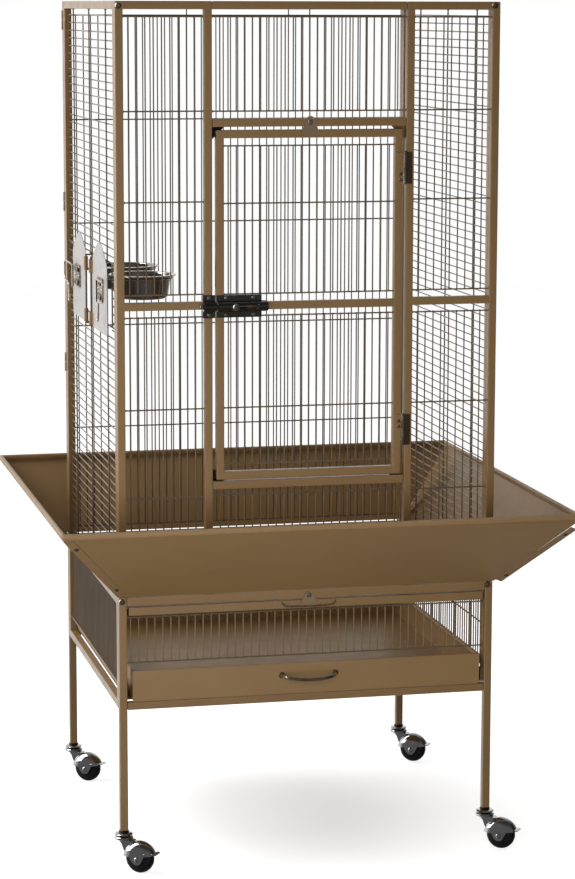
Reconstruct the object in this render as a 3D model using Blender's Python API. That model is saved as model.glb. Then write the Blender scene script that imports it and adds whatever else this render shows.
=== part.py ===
"""Bird cage on a wheeled stand: welded wire panels on square tube, a swing door with a
barrel bolt, two swing-out feeder doors with cups, a slide-out grate and tray, a flared
seed guard and four swivel casters.  Metres, +Z up, front of the cage towards -Y."""

import math

import bmesh
import bpy
from mathutils import Matrix, Vector

for leftover in list(bpy.data.objects):
    bpy.data.objects.remove(leftover)

# ---------------------------------------------------------------- driving dimensions
TUBE = 0.0127            # side of the square tube
GAP = 0.0003             # clearance kept between touching pieces
HALF_W = 0.305           # half the cage width
HALF_D = 0.276           # half the cage depth
CAGE_SHIFT = 0.014       # cage centre lies this far behind the middle of the seed guard
TOP = 1.366              # top of the cage
BASE_TOP = 0.443         # top of the base, where the cage panels stand
BASE_RAIL = 0.429        # underside of the base's upper rail
LOW_RAIL = (0.262, 0.2745)
LEG_BOTTOM = 0.0617

WIRE = 0.0026            # vertical bar thickness
CROSS = 0.0030           # cross wire thickness
PITCH = 0.0257           # centre to centre of the modelled bars (every second real bar)
CROSS_STEP = 0.0032      # intermediate cross wires lie this far behind the bars

JAMB = (0.1545, 0.1672)
HEADER = (1.1747, 1.1874)
SILL = (0.610, 0.6229)
MID_RAIL = (0.8932, 0.9057)
DOOR_X, DOOR_Z = 0.1488, (0.625, 1.170)
DOOR_MID = (0.8915, 0.904)

HINGE_X, HINGE_Y = 0.15165, -(HALF_D + 0.0035)
HINGE_Z = ((0.671, 0.720), (1.0845, 1.1335))
LEAF = 0.0015

BOLT_Z, BOLT_Y = 0.898, -(HALF_D + 0.0066)
BOLT_PLATE = (-0.1485, -0.0790)
BOLT_TRAVEL = 0.0295

GUARD_RIM_Z = 0.571
GUARD_OUT = {"front": 0.1227, "back": 0.0947, "side": 0.1068}
GUARD_SHEET = 0.0012

TRAY_X, TRAY_Z, TRAY_SHEET = 0.284, (0.2777, 0.325), 0.0015
GRATE_X, GRATE_Z = 0.289, (0.4135, 0.4270)

FEEDER_PLATE_X = -(HALF_W + 0.0020)
FEEDER_HINGE_X = -(HALF_W + 0.0040)
FEEDER_Z = (0.862, 0.958)
FEEDERS = {"front": (-0.046, -1), "back": (0.006, 1)}   # hinge line and outward side
FEEDER_OPENING = 0.149
CUP_FROM_HINGE, CUP_X = 0.054, -0.2340
CUP_RIM_Z, CUP_BOTTOM_Z = 0.934, 0.8950

WHEEL_R, WHEEL_HALF = 0.0235, 0.0105
TRAIL = (0.023, -0.017)

COLOURS = {
    "coat": ((0.195, 0.133, 0.076, 1), 0.45, 0.3),
    "sheet": ((0.205, 0.139, 0.080, 1), 0.5, 0.2),
    "steel": ((0.62, 0.60, 0.57, 1), 0.25, 1.0),
    "dark_chrome": ((0.16, 0.16, 0.15, 1), 0.3, 1.0),
    "bronze": ((0.22, 0.17, 0.12, 1), 0.4, 0.8),
    "pale_plate": ((0.62, 0.60, 0.58, 1), 0.45, 0.2),
    "tyre": ((0.012, 0.012, 0.012, 1), 0.5, 0.0),
}


# ---------------------------------------------------------------- basic helpers
def material(name, kind):
    colour, rough, metal = COLOURS[kind]
    mat = bpy.data.materials.new(name + "_mat")
    mat.use_nodes = True
    shader = mat.node_tree.nodes["Principled BSDF"]
    shader.inputs["Base Color"].default_value = colour
    shader.inputs["Roughness"].default_value = rough
    shader.inputs["Metallic"].default_value = metal
    mat.diffuse_color = colour
    return mat


def scratch(bm):
    """A temporary object holding a mesh that is about to be combined."""
    bmesh.ops.recalc_face_normals(bm, faces=bm.faces)
    mesh = bpy.data.meshes.new("scratch")
    bm.to_mesh(mesh)
    bm.free()
    ob = bpy.data.objects.new("scratch", mesh)
    bpy.context.collection.objects.link(ob)
    return ob


def combine(base, other, operation="UNION"):
    """Boolean base with other, keep the result in base, drop other."""
    mod = base.modifiers.new("Combine", "BOOLEAN")
    mod.operation = operation
    mod.object = other
    depsgraph = bpy.context.evaluated_depsgraph_get()
    result = bpy.data.meshes.new_from_object(base.evaluated_get(depsgraph))
    base.modifiers.clear()
    base.data = result
    bpy.data.objects.remove(other)
    return base


def union(*meshes):
    base = scratch(meshes[0])
    for bm in meshes[1:]:
        if bm.verts:
            combine(base, scratch(bm))
    return base


def named(ob, name, kind, origin=(0, 0, 0), smooth=False):
    """Give the finished piece its name, its own material and its origin."""
    ob.name = name
    ob.data = ob.data.copy()
    ob.data.name = name
    ob.data.transform(Matrix.Translation(-Vector(origin)))
    ob.location = origin
    ob.data.materials.clear()
    ob.data.materials.append(material(name, kind))
    if smooth:
        ob.data.shade_smooth()
        ob.data.set_sharp_from_angle(angle=math.radians(40))
    return ob


def box(bm, x, y, z):
    """Box between the ends given for each axis."""
    v = [bm.verts.new((x[i], y[j], z[k])) for k in (0, 1) for j in (0, 1) for i in (0, 1)]
    for face in ((0, 2, 3, 1), (4, 5, 7, 6), (0, 1, 5, 4), (2, 6, 7, 3), (0, 4, 6, 2), (1, 3, 7, 5)):
        bm.faces.new([v[i] for i in face])


def boxes(*ranges):
    bm = bmesh.new()
    for x, y, z in ranges:
        box(bm, x, y, z)
    return bm


def swept(rings, closed=False):
    """Skin a list of equal point rings, capped at both ends unless closed."""
    bm = bmesh.new()
    loops = [[bm.verts.new(p) for p in ring] for ring in rings]
    pairs = list(zip(loops, loops[1:] + loops[:1])) if closed else list(zip(loops, loops[1:]))
    for a, b in pairs:
        for i in range(len(a)):
            j = (i + 1) % len(a)
            bm.faces.new((a[i], a[j], b[j], b[i]))
    if not closed:
        bm.faces.new(loops[0][::-1])
        bm.faces.new(loops[-1])
    return bm


def turned(profile, sides, centre=(0, 0, 0), axis="Z"):
    """Closed profile of (radius, height) turned about an axis through centre."""
    frame = {"Z": ((1, 0, 0), (0, 1, 0), (0, 0, 1)),
             "X": ((0, 1, 0), (0, 0, 1), (1, 0, 0)),
             "Y": ((1, 0, 0), (0, 0, 1), (0, 1, 0))}[axis]
    e1, e2, e3 = (Vector(v) for v in frame)
    rings = []
    for k in range(sides):
        a = math.tau * k / sides
        out = e1 * math.cos(a) + e2 * math.sin(a)
        rings.append([Vector(centre) + out * r + e3 * h for r, h in profile])
    return swept(rings, closed=True)


def rod(centre, radius, h0, h1, axis="Z", sides=12):
    """Solid cylinder from h0 to h1 along an axis through centre."""
    frame = {"Z": ((1, 0, 0), (0, 1, 0), (0, 0, 1)),
             "X": ((0, 1, 0), (0, 0, 1), (1, 0, 0)),
             "Y": ((1, 0, 0), (0, 0, 1), (0, 1, 0))}[axis]
    e1, e2, e3 = (Vector(v) for v in frame)
    rings = []
    for h in (h0, h1):
        rings.append([Vector(centre) + e3 * h + radius * (e1 * math.cos(math.tau * k / sides)
                      + e2 * math.sin(math.tau * k / sides)) for k in range(sides)])
    return swept(rings)


def tube_ring(centre, inner, outer, h0, h1, axis="Z", sides=12):
    return turned([(inner, h0), (outer, h0), (outer, h1), (inner, h1)], sides, centre, axis)


# ---------------------------------------------------------------- wire panels
PLACE = {  # how a panel's (along, up, through) runs in the room
    "front": lambda u, v, w: (u, w, v),
    "side": lambda u, v, w: (w, u, v),
    "flat": lambda u, v, w: (u, v, w),
}


def frame_mesh(place, rects, w):
    """Flat frame made of overlapping rectangles, one closed surface."""
    us = sorted({e for r in rects for e in r[:2]})
    vs = sorted({e for r in rects for e in r[2:]})

    def filled(i, j):
        if not (0 <= i < len(us) - 1 and 0 <= j < len(vs) - 1):
            return False
        u, v = (us[i] + us[i + 1]) / 2, (vs[j] + vs[j + 1]) / 2
        return any(r[0] < u < r[1] and r[2] < v < r[3] for r in rects)

    bm = bmesh.new()
    points = {}

    def point(i, j, k):
        if (i, j, k) not in points:
            points[i, j, k] = bm.verts.new(PLACE[place](us[i], vs[j], w[k]))
        return points[i, j, k]

    for i in range(len(us) - 1):
        for j in range(len(vs) - 1):
            if not filled(i, j):
                continue
            for k in (0, 1):
                bm.faces.new([point(*p, k) for p in ((i, j), (i + 1, j), (i + 1, j + 1), (i, j + 1))])
            sides = (((i, j), (i + 1, j), (i, j - 1)), ((i, j + 1), (i + 1, j + 1), (i, j + 1)),
                     ((i, j), (i, j + 1), (i - 1, j)), ((i + 1, j), (i + 1, j + 1), (i + 1, j)))
            for a, b, beyond in sides:
                if not filled(*beyond):
                    bm.faces.new([point(*a, 0), point(*b, 0), point(*b, 1), point(*a, 1)])
    return bm


def wires(place, runs, thick):
    """Square wires; a run is (u0, u1, v0, v1, w) with one of the spans a single line."""
    bm = bmesh.new()
    h = thick / 2
    for u0, u1, v0, v1, w in runs:
        if u0 == u1:
            span = ((u0 - h, u0 + h), (v0, v1))
        else:
            span = ((u0, u1), (v0 - h, v0 + h))
        ends = [PLACE[place](span[0][i], span[1][i], (w - h, w + h)[i]) for i in (0, 1)]
        box(bm, *[(min(a, b), max(a, b)) for a, b in zip(*ends)])
    return bm


def bar_lines(first, last, pitch=PITCH):
    """Bar positions at the pitch, centred between first and last."""
    count = int(round((last - first) / pitch)) + 1
    middle = (first + last) / 2
    return [middle + pitch * (k - (count - 1) / 2) for k in range(count)]


def grille(name, place, rects, w, bars, ends, crosses, inward, sideways=False, kind="coat"):
    """Frame of rectangles, bars between end wires, and cross wires behind the bars.

    bars: list of (line, start, stop); ends and crosses: list of (line, start, stop).
    sideways swaps them, so that the bars run along the panel.
    """
    mid = (w[0] + w[1]) / 2 - inward * CROSS_STEP / 2

    def run(line, start, stop, depth, turn):
        return (start, stop, line, line, depth) if turn else (line, line, start, stop, depth)

    ob = union(frame_mesh(place, rects, w),
               wires(place, [run(*e, mid, not sideways) for e in ends]
                     + [run(*c, mid + inward * CROSS_STEP, not sideways) for c in crosses], CROSS),
               wires(place, [run(*b, mid, sideways) for b in bars], WIRE))
    return named(ob, name, kind)


BITE = 0.004     # how far a wire runs into the tube it is welded to
FRONT_W = (-HALF_D, -HALF_D + TUBE)
BACK_W = (HALF_D - TUBE, HALF_D)
LEFT_W = (-HALF_W, -HALF_W + TUBE)
RIGHT_W = (HALF_W - TUBE, HALF_W)
LOW_END = 0.456          # lowest cross wire of the cage panels
TOP_END = 1.3424         # highest cross wire of the cage panels


def front_side_panel(name, sign, bars):
    """Panel beside the door: corner post, jamb, top and middle rails."""
    def u(a, b):
        return sorted((sign * a, sign * b))
    post, jamb, whole = u(HALF_W, HALF_W - TUBE), u(*JAMB), u(HALF_W, JAMB[0])
    low, high = BASE_TOP + GAP, TOP
    rects = [(*post, low, high), (*jamb, low, high),
             (*whole, high - TUBE, high), (*whole, *MID_RAIL)]
    inner = u(HALF_W - TUBE + BITE, JAMB[1] - BITE)
    ends = [(z, *inner) for z in (TOP_END, 0.917, 0.882, LOW_END)]
    crosses = [(z, *inner) for z in (1.199, 1.060, 0.738, 0.5985)]
    lines = [(x, lo, hi) for x in bars for lo, hi in ((0.917, TOP_END), (LOW_END, 0.882))]
    grille(name, "front", rects, FRONT_W, lines, ends, crosses, inward=1)


def build_front():
    front_side_panel("front_left_panel", -1, bar_lines(-0.2833, -0.1805))
    front_side_panel("front_right_panel", 1, bar_lines(0.1765, 0.2790))
    door_bars = bar_lines(-0.1413, 0.1413)
    inner = JAMB[0] - GAP
    top_rail = (-inner, inner, TOP - TUBE, TOP)
    header = (-inner, inner, *HEADER)
    sides = [(s - 0.002, s + 0.002, HEADER[0], TOP) for s in (-inner + 0.002, inner - 0.002)]
    grille("front_top_panel", "front", [top_rail, header, *sides], FRONT_W,
           [(x, 1.1987, TOP_END) for x in door_bars],
           [(z, -inner + 0.001, inner - 0.001) for z in (TOP_END, 1.1987)], [], inward=1)
    low = BASE_TOP + GAP
    sides = [(s - 0.002, s + 0.002, low, SILL[1]) for s in (-inner + 0.002, inner - 0.002)]
    grille("front_sill_panel", "front", [(-inner, inner, *SILL), *sides], FRONT_W,
           [(x, LOW_END, 0.598) for x in door_bars],
           [(z, -inner + 0.001, inner - 0.001) for z in (0.598, LOW_END)], [], inward=1)


def build_door():
    rects = [(s * DOOR_X - (s > 0) * TUBE, s * DOOR_X + (s < 0) * TUBE, *DOOR_Z) for s in (-1, 1)]
    rects += [(-DOOR_X, DOOR_X, *z) for z in
              ((DOOR_Z[0], DOOR_Z[0] + TUBE), (DOOR_Z[1] - TUBE, DOOR_Z[1]), DOOR_MID)]
    inner = (-DOOR_X + TUBE - BITE, DOOR_X - TUBE + BITE)
    spans = ((0.649, 0.8822), (0.9164, 1.1456))
    bars = [(x, lo, hi) for x in bar_lines(-0.1285, 0.1285) for lo, hi in spans]
    ends = [(z, *inner) for z in (0.649, 0.8822, 0.9164, 1.1456)]
    crosses = [(z, *inner) for z in (0.7382, 1.057)]
    door = grille("door", "front", rects, FRONT_W, bars, ends, crosses, inward=1)
    set_origin(door, (HINGE_X, HINGE_Y, sum(DOOR_Z) / 2))


def set_origin(ob, origin):
    ob.data.transform(Matrix.Translation(Vector(ob.location) - Vector(origin)))
    ob.location = origin


def closed_frame(u, v, low_rail=True):
    """Four tubes round a rectangle."""
    rects = [(u[0], u[0] + TUBE, *v), (u[1] - TUBE, u[1], *v), (*u, v[1] - TUBE, v[1])]
    if low_rail:
        rects.append((*u, v[0], v[0] + TUBE))
    return rects


def build_back_and_roof():
    u = (-HALF_W, HALF_W)
    low = BASE_TOP + GAP
    inner = (u[0] + TUBE - BITE, u[1] - TUBE + BITE)
    grille("back_panel", "front", closed_frame(u, (low, TOP), False), BACK_W,
           [(x, LOW_END, TOP_END) for x in bar_lines(-0.270, 0.270)],
           [(z, *inner) for z in (LOW_END, TOP_END)],
           [(z, *inner) for z in (1.165, 0.9875, 0.8095, 0.631)], inward=-1)
    edge = HALF_W - TUBE - GAP
    deep = HALF_D - TUBE - GAP
    grille("roof_panel", "flat", [(-edge, -edge + TUBE, -deep, deep), (edge - TUBE, edge, -deep, deep),
                                  (-edge, edge, -deep, -deep + TUBE), (-edge, edge, deep - TUBE, deep)],
           (TOP - TUBE, TOP), [(x, -deep + TUBE - BITE, deep - TUBE + BITE) for x in bar_lines(-0.257, 0.257)],
           [], [(y, -edge + TUBE - BITE, edge - TUBE + BITE) for y in (-0.168, 0.0, 0.168)], inward=-1)


SIDE_U = (-HALF_D + TUBE + GAP, HALF_D - TUBE - GAP)
SIDE_CROSS = (-0.1630, 0.0045, 0.1720)


def side_bars(z0, z1):
    first = 0.4695
    count = int((TOP_END - first) / PITCH) + 1
    return [z for z in (first + PITCH * k for k in range(count)) if z0 + 0.004 < z < z1 - 0.004]


def build_sides():
    u, low = SIDE_U, BASE_TOP + GAP
    inner = (u[0] + TUBE - BITE, u[1] - TUBE + BITE)
    grille("right_panel", "side", closed_frame(u, (low, TOP), False), RIGHT_W,
           [(z, *inner) for z in side_bars(low, TOP - TUBE)],
           [], [(y, low + 0.006, TOP - TUBE + BITE) for y in SIDE_CROSS],
           inward=-1, sideways=True)
    z0, z1 = FEEDER_Z
    grille("left_lower_panel", "side", [(u[0], u[0] + TUBE, low, z0 - GAP), (u[1] - TUBE, u[1], low, z0 - GAP),
                                        (*u, z0 - 0.004, z0 - GAP)], LEFT_W,
           [(z, *inner) for z in side_bars(low, z0 - 0.01)], [],
           [(y, low + 0.006, z0 - 0.001) for y in SIDE_CROSS], inward=1, sideways=True)
    grille("left_upper_panel", "side", [(u[0], u[0] + TUBE, z1 + GAP, TOP), (u[1] - TUBE, u[1], z1 + GAP, TOP),
                                        (*u, z1 + GAP, z1 + 0.004), (*u, TOP - TUBE, TOP)], LEFT_W,
           [(z, *inner) for z in side_bars(z1 + 0.01, TOP - TUBE)], [],
           [(y, z1 + 0.001, TOP - TUBE + BITE) for y in SIDE_CROSS], inward=1, sideways=True)
    build_feeder_piers(u, z0, z1)


def build_feeder_piers(u, z0, z1):
    """Strips of the left panel beside and between the two feeder openings."""
    edges = {k: hinge + side * FEEDER_OPENING for k, (hinge, side) in FEEDERS.items()}
    strips = {"left_front_strip": (u[0], edges["front"], TUBE, 0.004),
              "left_rear_strip": (edges["back"], u[1], 0.004, TUBE)}
    for name, (a, b, wa, wb) in strips.items():
        rects = [(a, a + wa, z0, z1), (b - wb, b, z0, z1)]
        rows = [(z, a + wa - 0.002, b - wb + 0.002) for z in side_bars(z0, z1)]
        grille(name, "side", rects, LEFT_W, rows, [], [], inward=1, sideways=True)
    a, b = FEEDERS["front"][0] + 0.002, FEEDERS["back"][0] - 0.002
    rects = [(a, a + 0.004, z0, z1), (b - 0.004, b, z0, z1)]
    rows = [(z, a + 0.002, b - 0.002) for z in side_bars(z0, z1)]
    strip = grille("left_centre_strip", "side", rects, LEFT_W, rows, [], [], inward=1, sideways=True)
    for hinge, side in FEEDERS.values():
        ends = [((FEEDER_HINGE_X - 0.0015, -HALF_W + 0.002), sorted((hinge + side * 0.0015, hinge - side * 0.004)), z)
                for z in ((z0 + 0.001, z0 + 0.004), (z1 - 0.004, z1 - 0.001))]
        combine(strip, scratch(boxes(*ends)))
        combine(strip, scratch(rod((FEEDER_HINGE_X, hinge, 0), 0.0014, z0 + 0.002, z1 - 0.002, sides=8)))


# ---------------------------------------------------------------- door furniture
def build_hinges():
    for label, (z0, z1) in zip(("lower", "upper"), HINGE_Z):
        half = (z0 + z1) / 2
        centre = (HINGE_X, HINGE_Y, 0)
        leaf_y = (-HALF_D - GAP - LEAF, -HALF_D - GAP)
        jamb = union(rod(centre, 0.0026, z0, half), rod(centre, 0.0012, half - 0.001, z1 - 0.001, sides=8),
                     boxes(((HINGE_X + 0.0031, 0.1650), leaf_y, (z0, z1))),
                     boxes(((HINGE_X, HINGE_X + 0.0040), leaf_y, (z0, half - 0.0005))))
        named(jamb, f"{label}_hinge_jamb_leaf", "dark_chrome")
        leaf = union(tube_ring(centre, 0.0016, 0.0026, half + GAP, z1),
                     boxes(((0.1390, HINGE_X), leaf_y, (half + GAP, z1))),
                     boxes(((0.1390, HINGE_X - 0.0031), leaf_y, (z0, half + 0.001))))
        named(leaf, f"{label}_hinge_door_leaf", "dark_chrome", (HINGE_X, HINGE_Y, half))


def build_bolt():
    """Barrel bolt on the door, with its rod held by a saddle on the jamb."""
    back = -HALF_D - GAP
    x0, x1 = BOLT_PLATE
    knob_x = -0.122
    housing = union(boxes(((x0, x1), (back - 0.0015, back), (0.8806, 0.9156))),
                    rod((0, BOLT_Y, BOLT_Z), 0.0062, x0 + 0.001, x1 + 0.007, "X"))
    combine(housing, scratch(rod((0, BOLT_Y, BOLT_Z), 0.0036, x0 - 0.01, x1 + 0.02, "X")), "DIFFERENCE")
    slot = boxes(((knob_x - 0.0025, knob_x + BOLT_TRAVEL + 0.003), (BOLT_Y - 0.012, BOLT_Y),
                  (BOLT_Z - 0.0023, BOLT_Z + 0.0023)))
    combine(housing, scratch(slot), "DIFFERENCE")
    named(housing, "bolt_housing", "dark_chrome", (HINGE_X, HINGE_Y, BOLT_Z))
    shaft = union(rod((0, BOLT_Y, BOLT_Z), 0.0030, -0.176, -0.104, "X"),
                  rod((knob_x, 0, BOLT_Z), 0.0017, BOLT_Y - 0.010, BOLT_Y, "Y", 8),
                  turned([(0.0001, -0.0055), (0.0038, -0.0042), (0.0055, 0), (0.0038, 0.0042), (0.0001, 0.0055)],
                         12, (knob_x, BOLT_Y - 0.0125, BOLT_Z), "Y"))
    named(shaft, "bolt_rod", "dark_chrome", (-0.176, BOLT_Y, BOLT_Z), smooth=True)
    prongs = [((-0.1705, -0.1560), (BOLT_Y - 0.0045, back), z)
              for z in ((BOLT_Z + 0.0035, BOLT_Z + 0.0060), (BOLT_Z - 0.0060, BOLT_Z - 0.0035))]
    keeper = union(boxes(((-0.1716, -0.1548), (back - 0.0015, back), (0.8806, 0.9175))), boxes(*prongs))
    named(keeper, "bolt_keeper", "dark_chrome")


def build_gravity_latches():
    """Small swinging plates, one above the door and one above the grate's front bar."""
    y = (-HALF_D - 0.0003 - 0.0016, -HALF_D - 0.0003)
    for name, pivot_z, top_z, low_z, low_half in (("door_latch", 1.181, 1.1905, 1.1708, 0.0100),
                                                  ("grate_latch", 0.4350, 0.4402, 0.4280, 0.0085)):
        plate = swept([[(-low_half, w, low_z), (low_half, w, low_z), (0.006, w, top_z), (-0.006, w, top_z)]
                       for w in y])
        head = rod((0, 0, pivot_z), 0.0028, y[0] - 0.0018, y[0] + 0.001, "Y", 10)
        named(union(plate, head), name, "bronze", (0, y[1], pivot_z))


# ---------------------------------------------------------------- feeders
def feeder_outline(hinge, side):
    """Plate with a flat foot, straight sides and a pointed ogee head, as (y, z)."""
    near, far = 0.0040, FEEDER_OPENING + 0.003
    mid, half = (near + far) / 2, (far - near) / 2
    arc = [(1.0, 0.948), (0.93, 0.955), (0.72, 0.962), (0.42, 0.967), (0.20, 0.974), (0.07, 0.982), (0.0, 0.988)]
    right = [(mid + half * f, z) for f, z in arc]
    left = [(mid - half * f, z) for f, z in arc[-2::-1]]
    outline = [(near, 0.845), (far, 0.845)] + right + left
    return [(hinge + side * a, z) for a, z in outline]


def build_feeder(label, hinge, side):
    plate_x = (FEEDER_PLATE_X - 0.0006, FEEDER_PLATE_X + 0.0006)
    outline = feeder_outline(hinge, side)
    plate = swept([[(x, y, z) for y, z in outline] for x in plate_x])
    centre = (FEEDER_HINGE_X, hinge, 0)
    z0, z1 = FEEDER_Z
    sleeves = [tube_ring(centre, 0.0019, 0.0034, a, b, sides=10) for a, b in
               ((z0 + 0.006, z0 + 0.020), (z1 - 0.020, z1 - 0.006))]
    tabs = boxes(*[((FEEDER_PLATE_X - 0.0012, FEEDER_PLATE_X + 0.0002),
                    sorted((hinge + side * 0.0024, hinge + side * 0.0060)), (a, b))
                   for a, b in ((z0 + 0.007, z0 + 0.019), (z1 - 0.019, z1 - 0.007))])
    door = union(plate, tabs, *sleeves)
    origin = (FEEDER_HINGE_X, hinge, (z0 + z1) / 2)
    named(door, f"{label}_feeder_door", "pale_plate", origin)
    build_cup(label, hinge + side * CUP_FROM_HINGE, origin)
    build_feeder_latch(label, hinge, side)


def build_cup(label, y, door_origin):
    centre = (CUP_X, y, 0)
    ring_z = (CUP_RIM_Z - 0.0070, CUP_RIM_Z - 0.0040)
    arm = boxes(((FEEDER_PLATE_X + 0.0009, CUP_X - 0.0490), (y - 0.008, y + 0.008), ring_z))
    foot = boxes(((FEEDER_PLATE_X + 0.0009, FEEDER_PLATE_X + 0.0024), (y - 0.0081, y + 0.0081),
                  (ring_z[0] - 0.012, ring_z[1] + 0.001)))
    ring = union(tube_ring(centre, 0.0478, 0.0510, *ring_z, sides=28), arm, foot)
    named(ring, f"{label}_cup_ring", "steel", door_origin)
    wall = [(0.0001, CUP_BOTTOM_Z), (0.0370, CUP_BOTTOM_Z), (0.0405, CUP_BOTTOM_Z + 0.003),
            (0.0465, CUP_RIM_Z - 0.0035), (0.0545, CUP_RIM_Z - 0.0035), (0.0545, CUP_RIM_Z),
            (0.0450, CUP_RIM_Z), (0.0390, CUP_BOTTOM_Z + 0.004), (0.0360, CUP_BOTTOM_Z + 0.0015),
            (0.0001, CUP_BOTTOM_Z + 0.0015)]
    cup = revolved_solid(wall, 28, centre)
    named(cup, f"{label}_cup", "steel", (CUP_X, y, CUP_BOTTOM_Z), smooth=True)


def revolved_solid(profile, sides, centre):
    """Turn a profile whose first and last points lie on the axis."""
    bm = bmesh.new()
    rows = []
    for r, h in profile[1:-1]:
        rows.append([bm.verts.new((centre[0] + r * math.cos(math.tau * k / sides),
                                   centre[1] + r * math.sin(math.tau * k / sides), centre[2] + h))
                     for k in range(sides)])
    for a, b in zip(rows, rows[1:]):
        for i in range(sides):
            j = (i + 1) % sides
            bm.faces.new((a[i], a[j], b[j], b[i]))
    bm.faces.new(rows[0][::-1])
    bm.faces.new(rows[-1])
    return scratch(bm)


def build_feeder_latch(label, hinge, side):
    """Wire catch that turns on a stud and reaches past the outer edge of the opening."""
    stud = hinge + side * 0.100
    x = FEEDER_PLATE_X - 0.0006 - GAP
    tip = side * (FEEDER_OPENING - 0.100 + 0.030)
    body = boxes(((x - 0.0050, x), (stud - 0.0050, stud + 0.0050), (0.897, 0.927)))
    arm = boxes(((x - 0.0040, x - 0.0015), sorted((stud, stud + tip)), (0.9108, 0.9132)))
    bail = boxes(((x - 0.0040, x - 0.0015), sorted((stud + tip - side * 0.0012, stud + tip + side * 0.0012)),
                  (0.884, 0.9145)))
    latch = union(body, arm, bail)
    named(latch, f"{label}_feeder_latch", "bronze", (x, stud, 0.912))


# ---------------------------------------------------------------- base
def build_base():
    for sx, lr in ((-1, "left"), (1, "right")):
        for sy, fb in ((-1, "front"), (1, "back")):
            build_leg(f"{fb}_{lr}_leg", sx, sy)
    inner = HALF_W - TUBE - GAP
    for name, z in (("base_front_rail", (BASE_RAIL, BASE_TOP)), ("base_low_rail", LOW_RAIL)):
        named(scratch(boxes(((-inner, inner), FRONT_W, z))), name, "coat")
    fence_y = -HALF_D + 0.006
    fence = union(wires("front", [(-inner, inner, z, z, fence_y) for z in (0.4095, 0.3377)], CROSS),
                  wires("front", [(x, x, 0.3377, 0.4095, fence_y) for x in bar_lines(-0.2827, 0.2827)], WIRE))
    named(fence, "base_front_fence", "coat")
    u = (-inner, inner)
    base_panel("base_back_panel", "front", u, BACK_W, bar_lines(-0.270, 0.270), -1)
    for name, w, inward in (("base_left_panel", LEFT_W, 1), ("base_right_panel", RIGHT_W, -1)):
        base_panel(name, "side", SIDE_U, w, bar_lines(-0.2313, 0.2313), inward)


def base_panel(name, place, u, w, bars, inward):
    """Rail, bars down to a low wire, a gap, and a lower rail between two end tubes."""
    rects = [(*u, BASE_RAIL, BASE_TOP), (u[0], u[0] + TUBE, LOW_RAIL[0], BASE_TOP),
             (u[1] - TUBE, u[1], LOW_RAIL[0], BASE_TOP), (*u, *LOW_RAIL)]
    inner = (u[0] + TUBE - BITE, u[1] - TUBE + BITE)
    grille(name, place, rects, w, [(a, 0.298, BASE_RAIL + BITE) for a in bars],
           [(0.298, *inner)], [(0.365, *inner)], inward=inward)


def build_leg(name, sx, sy):
    """Corner tube with the caster's swivel plate and kingpin pressed into its foot."""
    cx, cy = sx * (HALF_W - TUBE / 2), sy * (HALF_D - TUBE / 2)
    h = TUBE / 2
    leg = union(boxes(((cx - h, cx + h), (cy - h, cy + h), (LEG_BOTTOM, BASE_TOP))),
                rod((cx, cy, 0), 0.0120, LEG_BOTTOM - 0.0035, LEG_BOTTOM + 0.0005, sides=16),
                rod((cx, cy, 0), 0.0030, 0.0500, LEG_BOTTOM - 0.002, sides=8))
    named(leg, name, "coat")


def build_runners():
    """Ledges on the base's sides that the tray and the grate slide on."""
    inside = HALF_W - TUBE - GAP
    for sx, lr in ((-1, "left"), (1, "right")):
        for name, z, depth, height in (("tray", 0.2774, 0.022, 0.0029), ("grate", 0.4132, 0.016, 0.0030)):
            x = sorted((sx * inside, sx * (inside - depth)))
            ledge = scratch(boxes((x, SIDE_U, (z - height, z))))
            named(ledge, f"{name}_runner_{lr}", "coat")


def build_grate():
    back = SIDE_U[1] - 0.004
    front = -HALF_D
    rects = [(-GRATE_X, -GRATE_X + 0.006, front + 0.004, back), (GRATE_X - 0.006, GRATE_X, front + 0.004, back),
             (-GRATE_X, GRATE_X, back - 0.006, back)]
    z = (GRATE_Z[0], GRATE_Z[0] + 0.006)
    bar = boxes(((-GRATE_X - 0.0001, GRATE_X + 0.0001), (front, front + 0.0127), (GRATE_Z[0] - 0.0001, GRATE_Z[1])))
    cross_z, bar_z = z[0] + 0.0017, z[0] + 0.0017 + CROSS_STEP
    ob = union(bar, frame_mesh("flat", rects, z),
               wires("flat", [(-GRATE_X + 0.003, GRATE_X - 0.003, y, y, cross_z) for y in (-0.14, 0.0, 0.14)], CROSS),
               wires("flat", [(x, x, front + 0.010, back - 0.003, bar_z) for x in bar_lines(-0.2699, 0.2699)], WIRE))
    named(ob, "grate", "coat", (0, front, GRATE_Z[0]))


def build_tray():
    y0, y1 = -HALF_D, SIDE_U[1] - 0.002
    (z0, z1), t = TRAY_Z, TRAY_SHEET
    tray = union(boxes(((-TRAY_X, TRAY_X), (y0, y1), (z0, z1 - 0.0005))),
                 boxes(((-TRAY_X, TRAY_X), (y0, y1), (z1 - 0.006, z1))))
    combine(tray, scratch(boxes(((-TRAY_X + t, TRAY_X - t), (y0 + t, y1 - t), (z0 + t, z1 + 0.01)))), "DIFFERENCE")
    named(tray, "tray", "sheet", (0, y0, z0))
    half, out, r, z = 0.0435, 0.028, 0.0025, 0.306
    feet = [((s * half - 0.006, s * half + 0.006), (y0 - GAP - 0.0015, y0 - GAP), (z - 0.007, z + 0.007))
            for s in (-1, 1)]
    pull = union(bow(half, out, r, y0 - GAP - 0.0008, z), boxes(*feet))
    named(pull, "tray_handle", "sheet", (0, y0, z))


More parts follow.
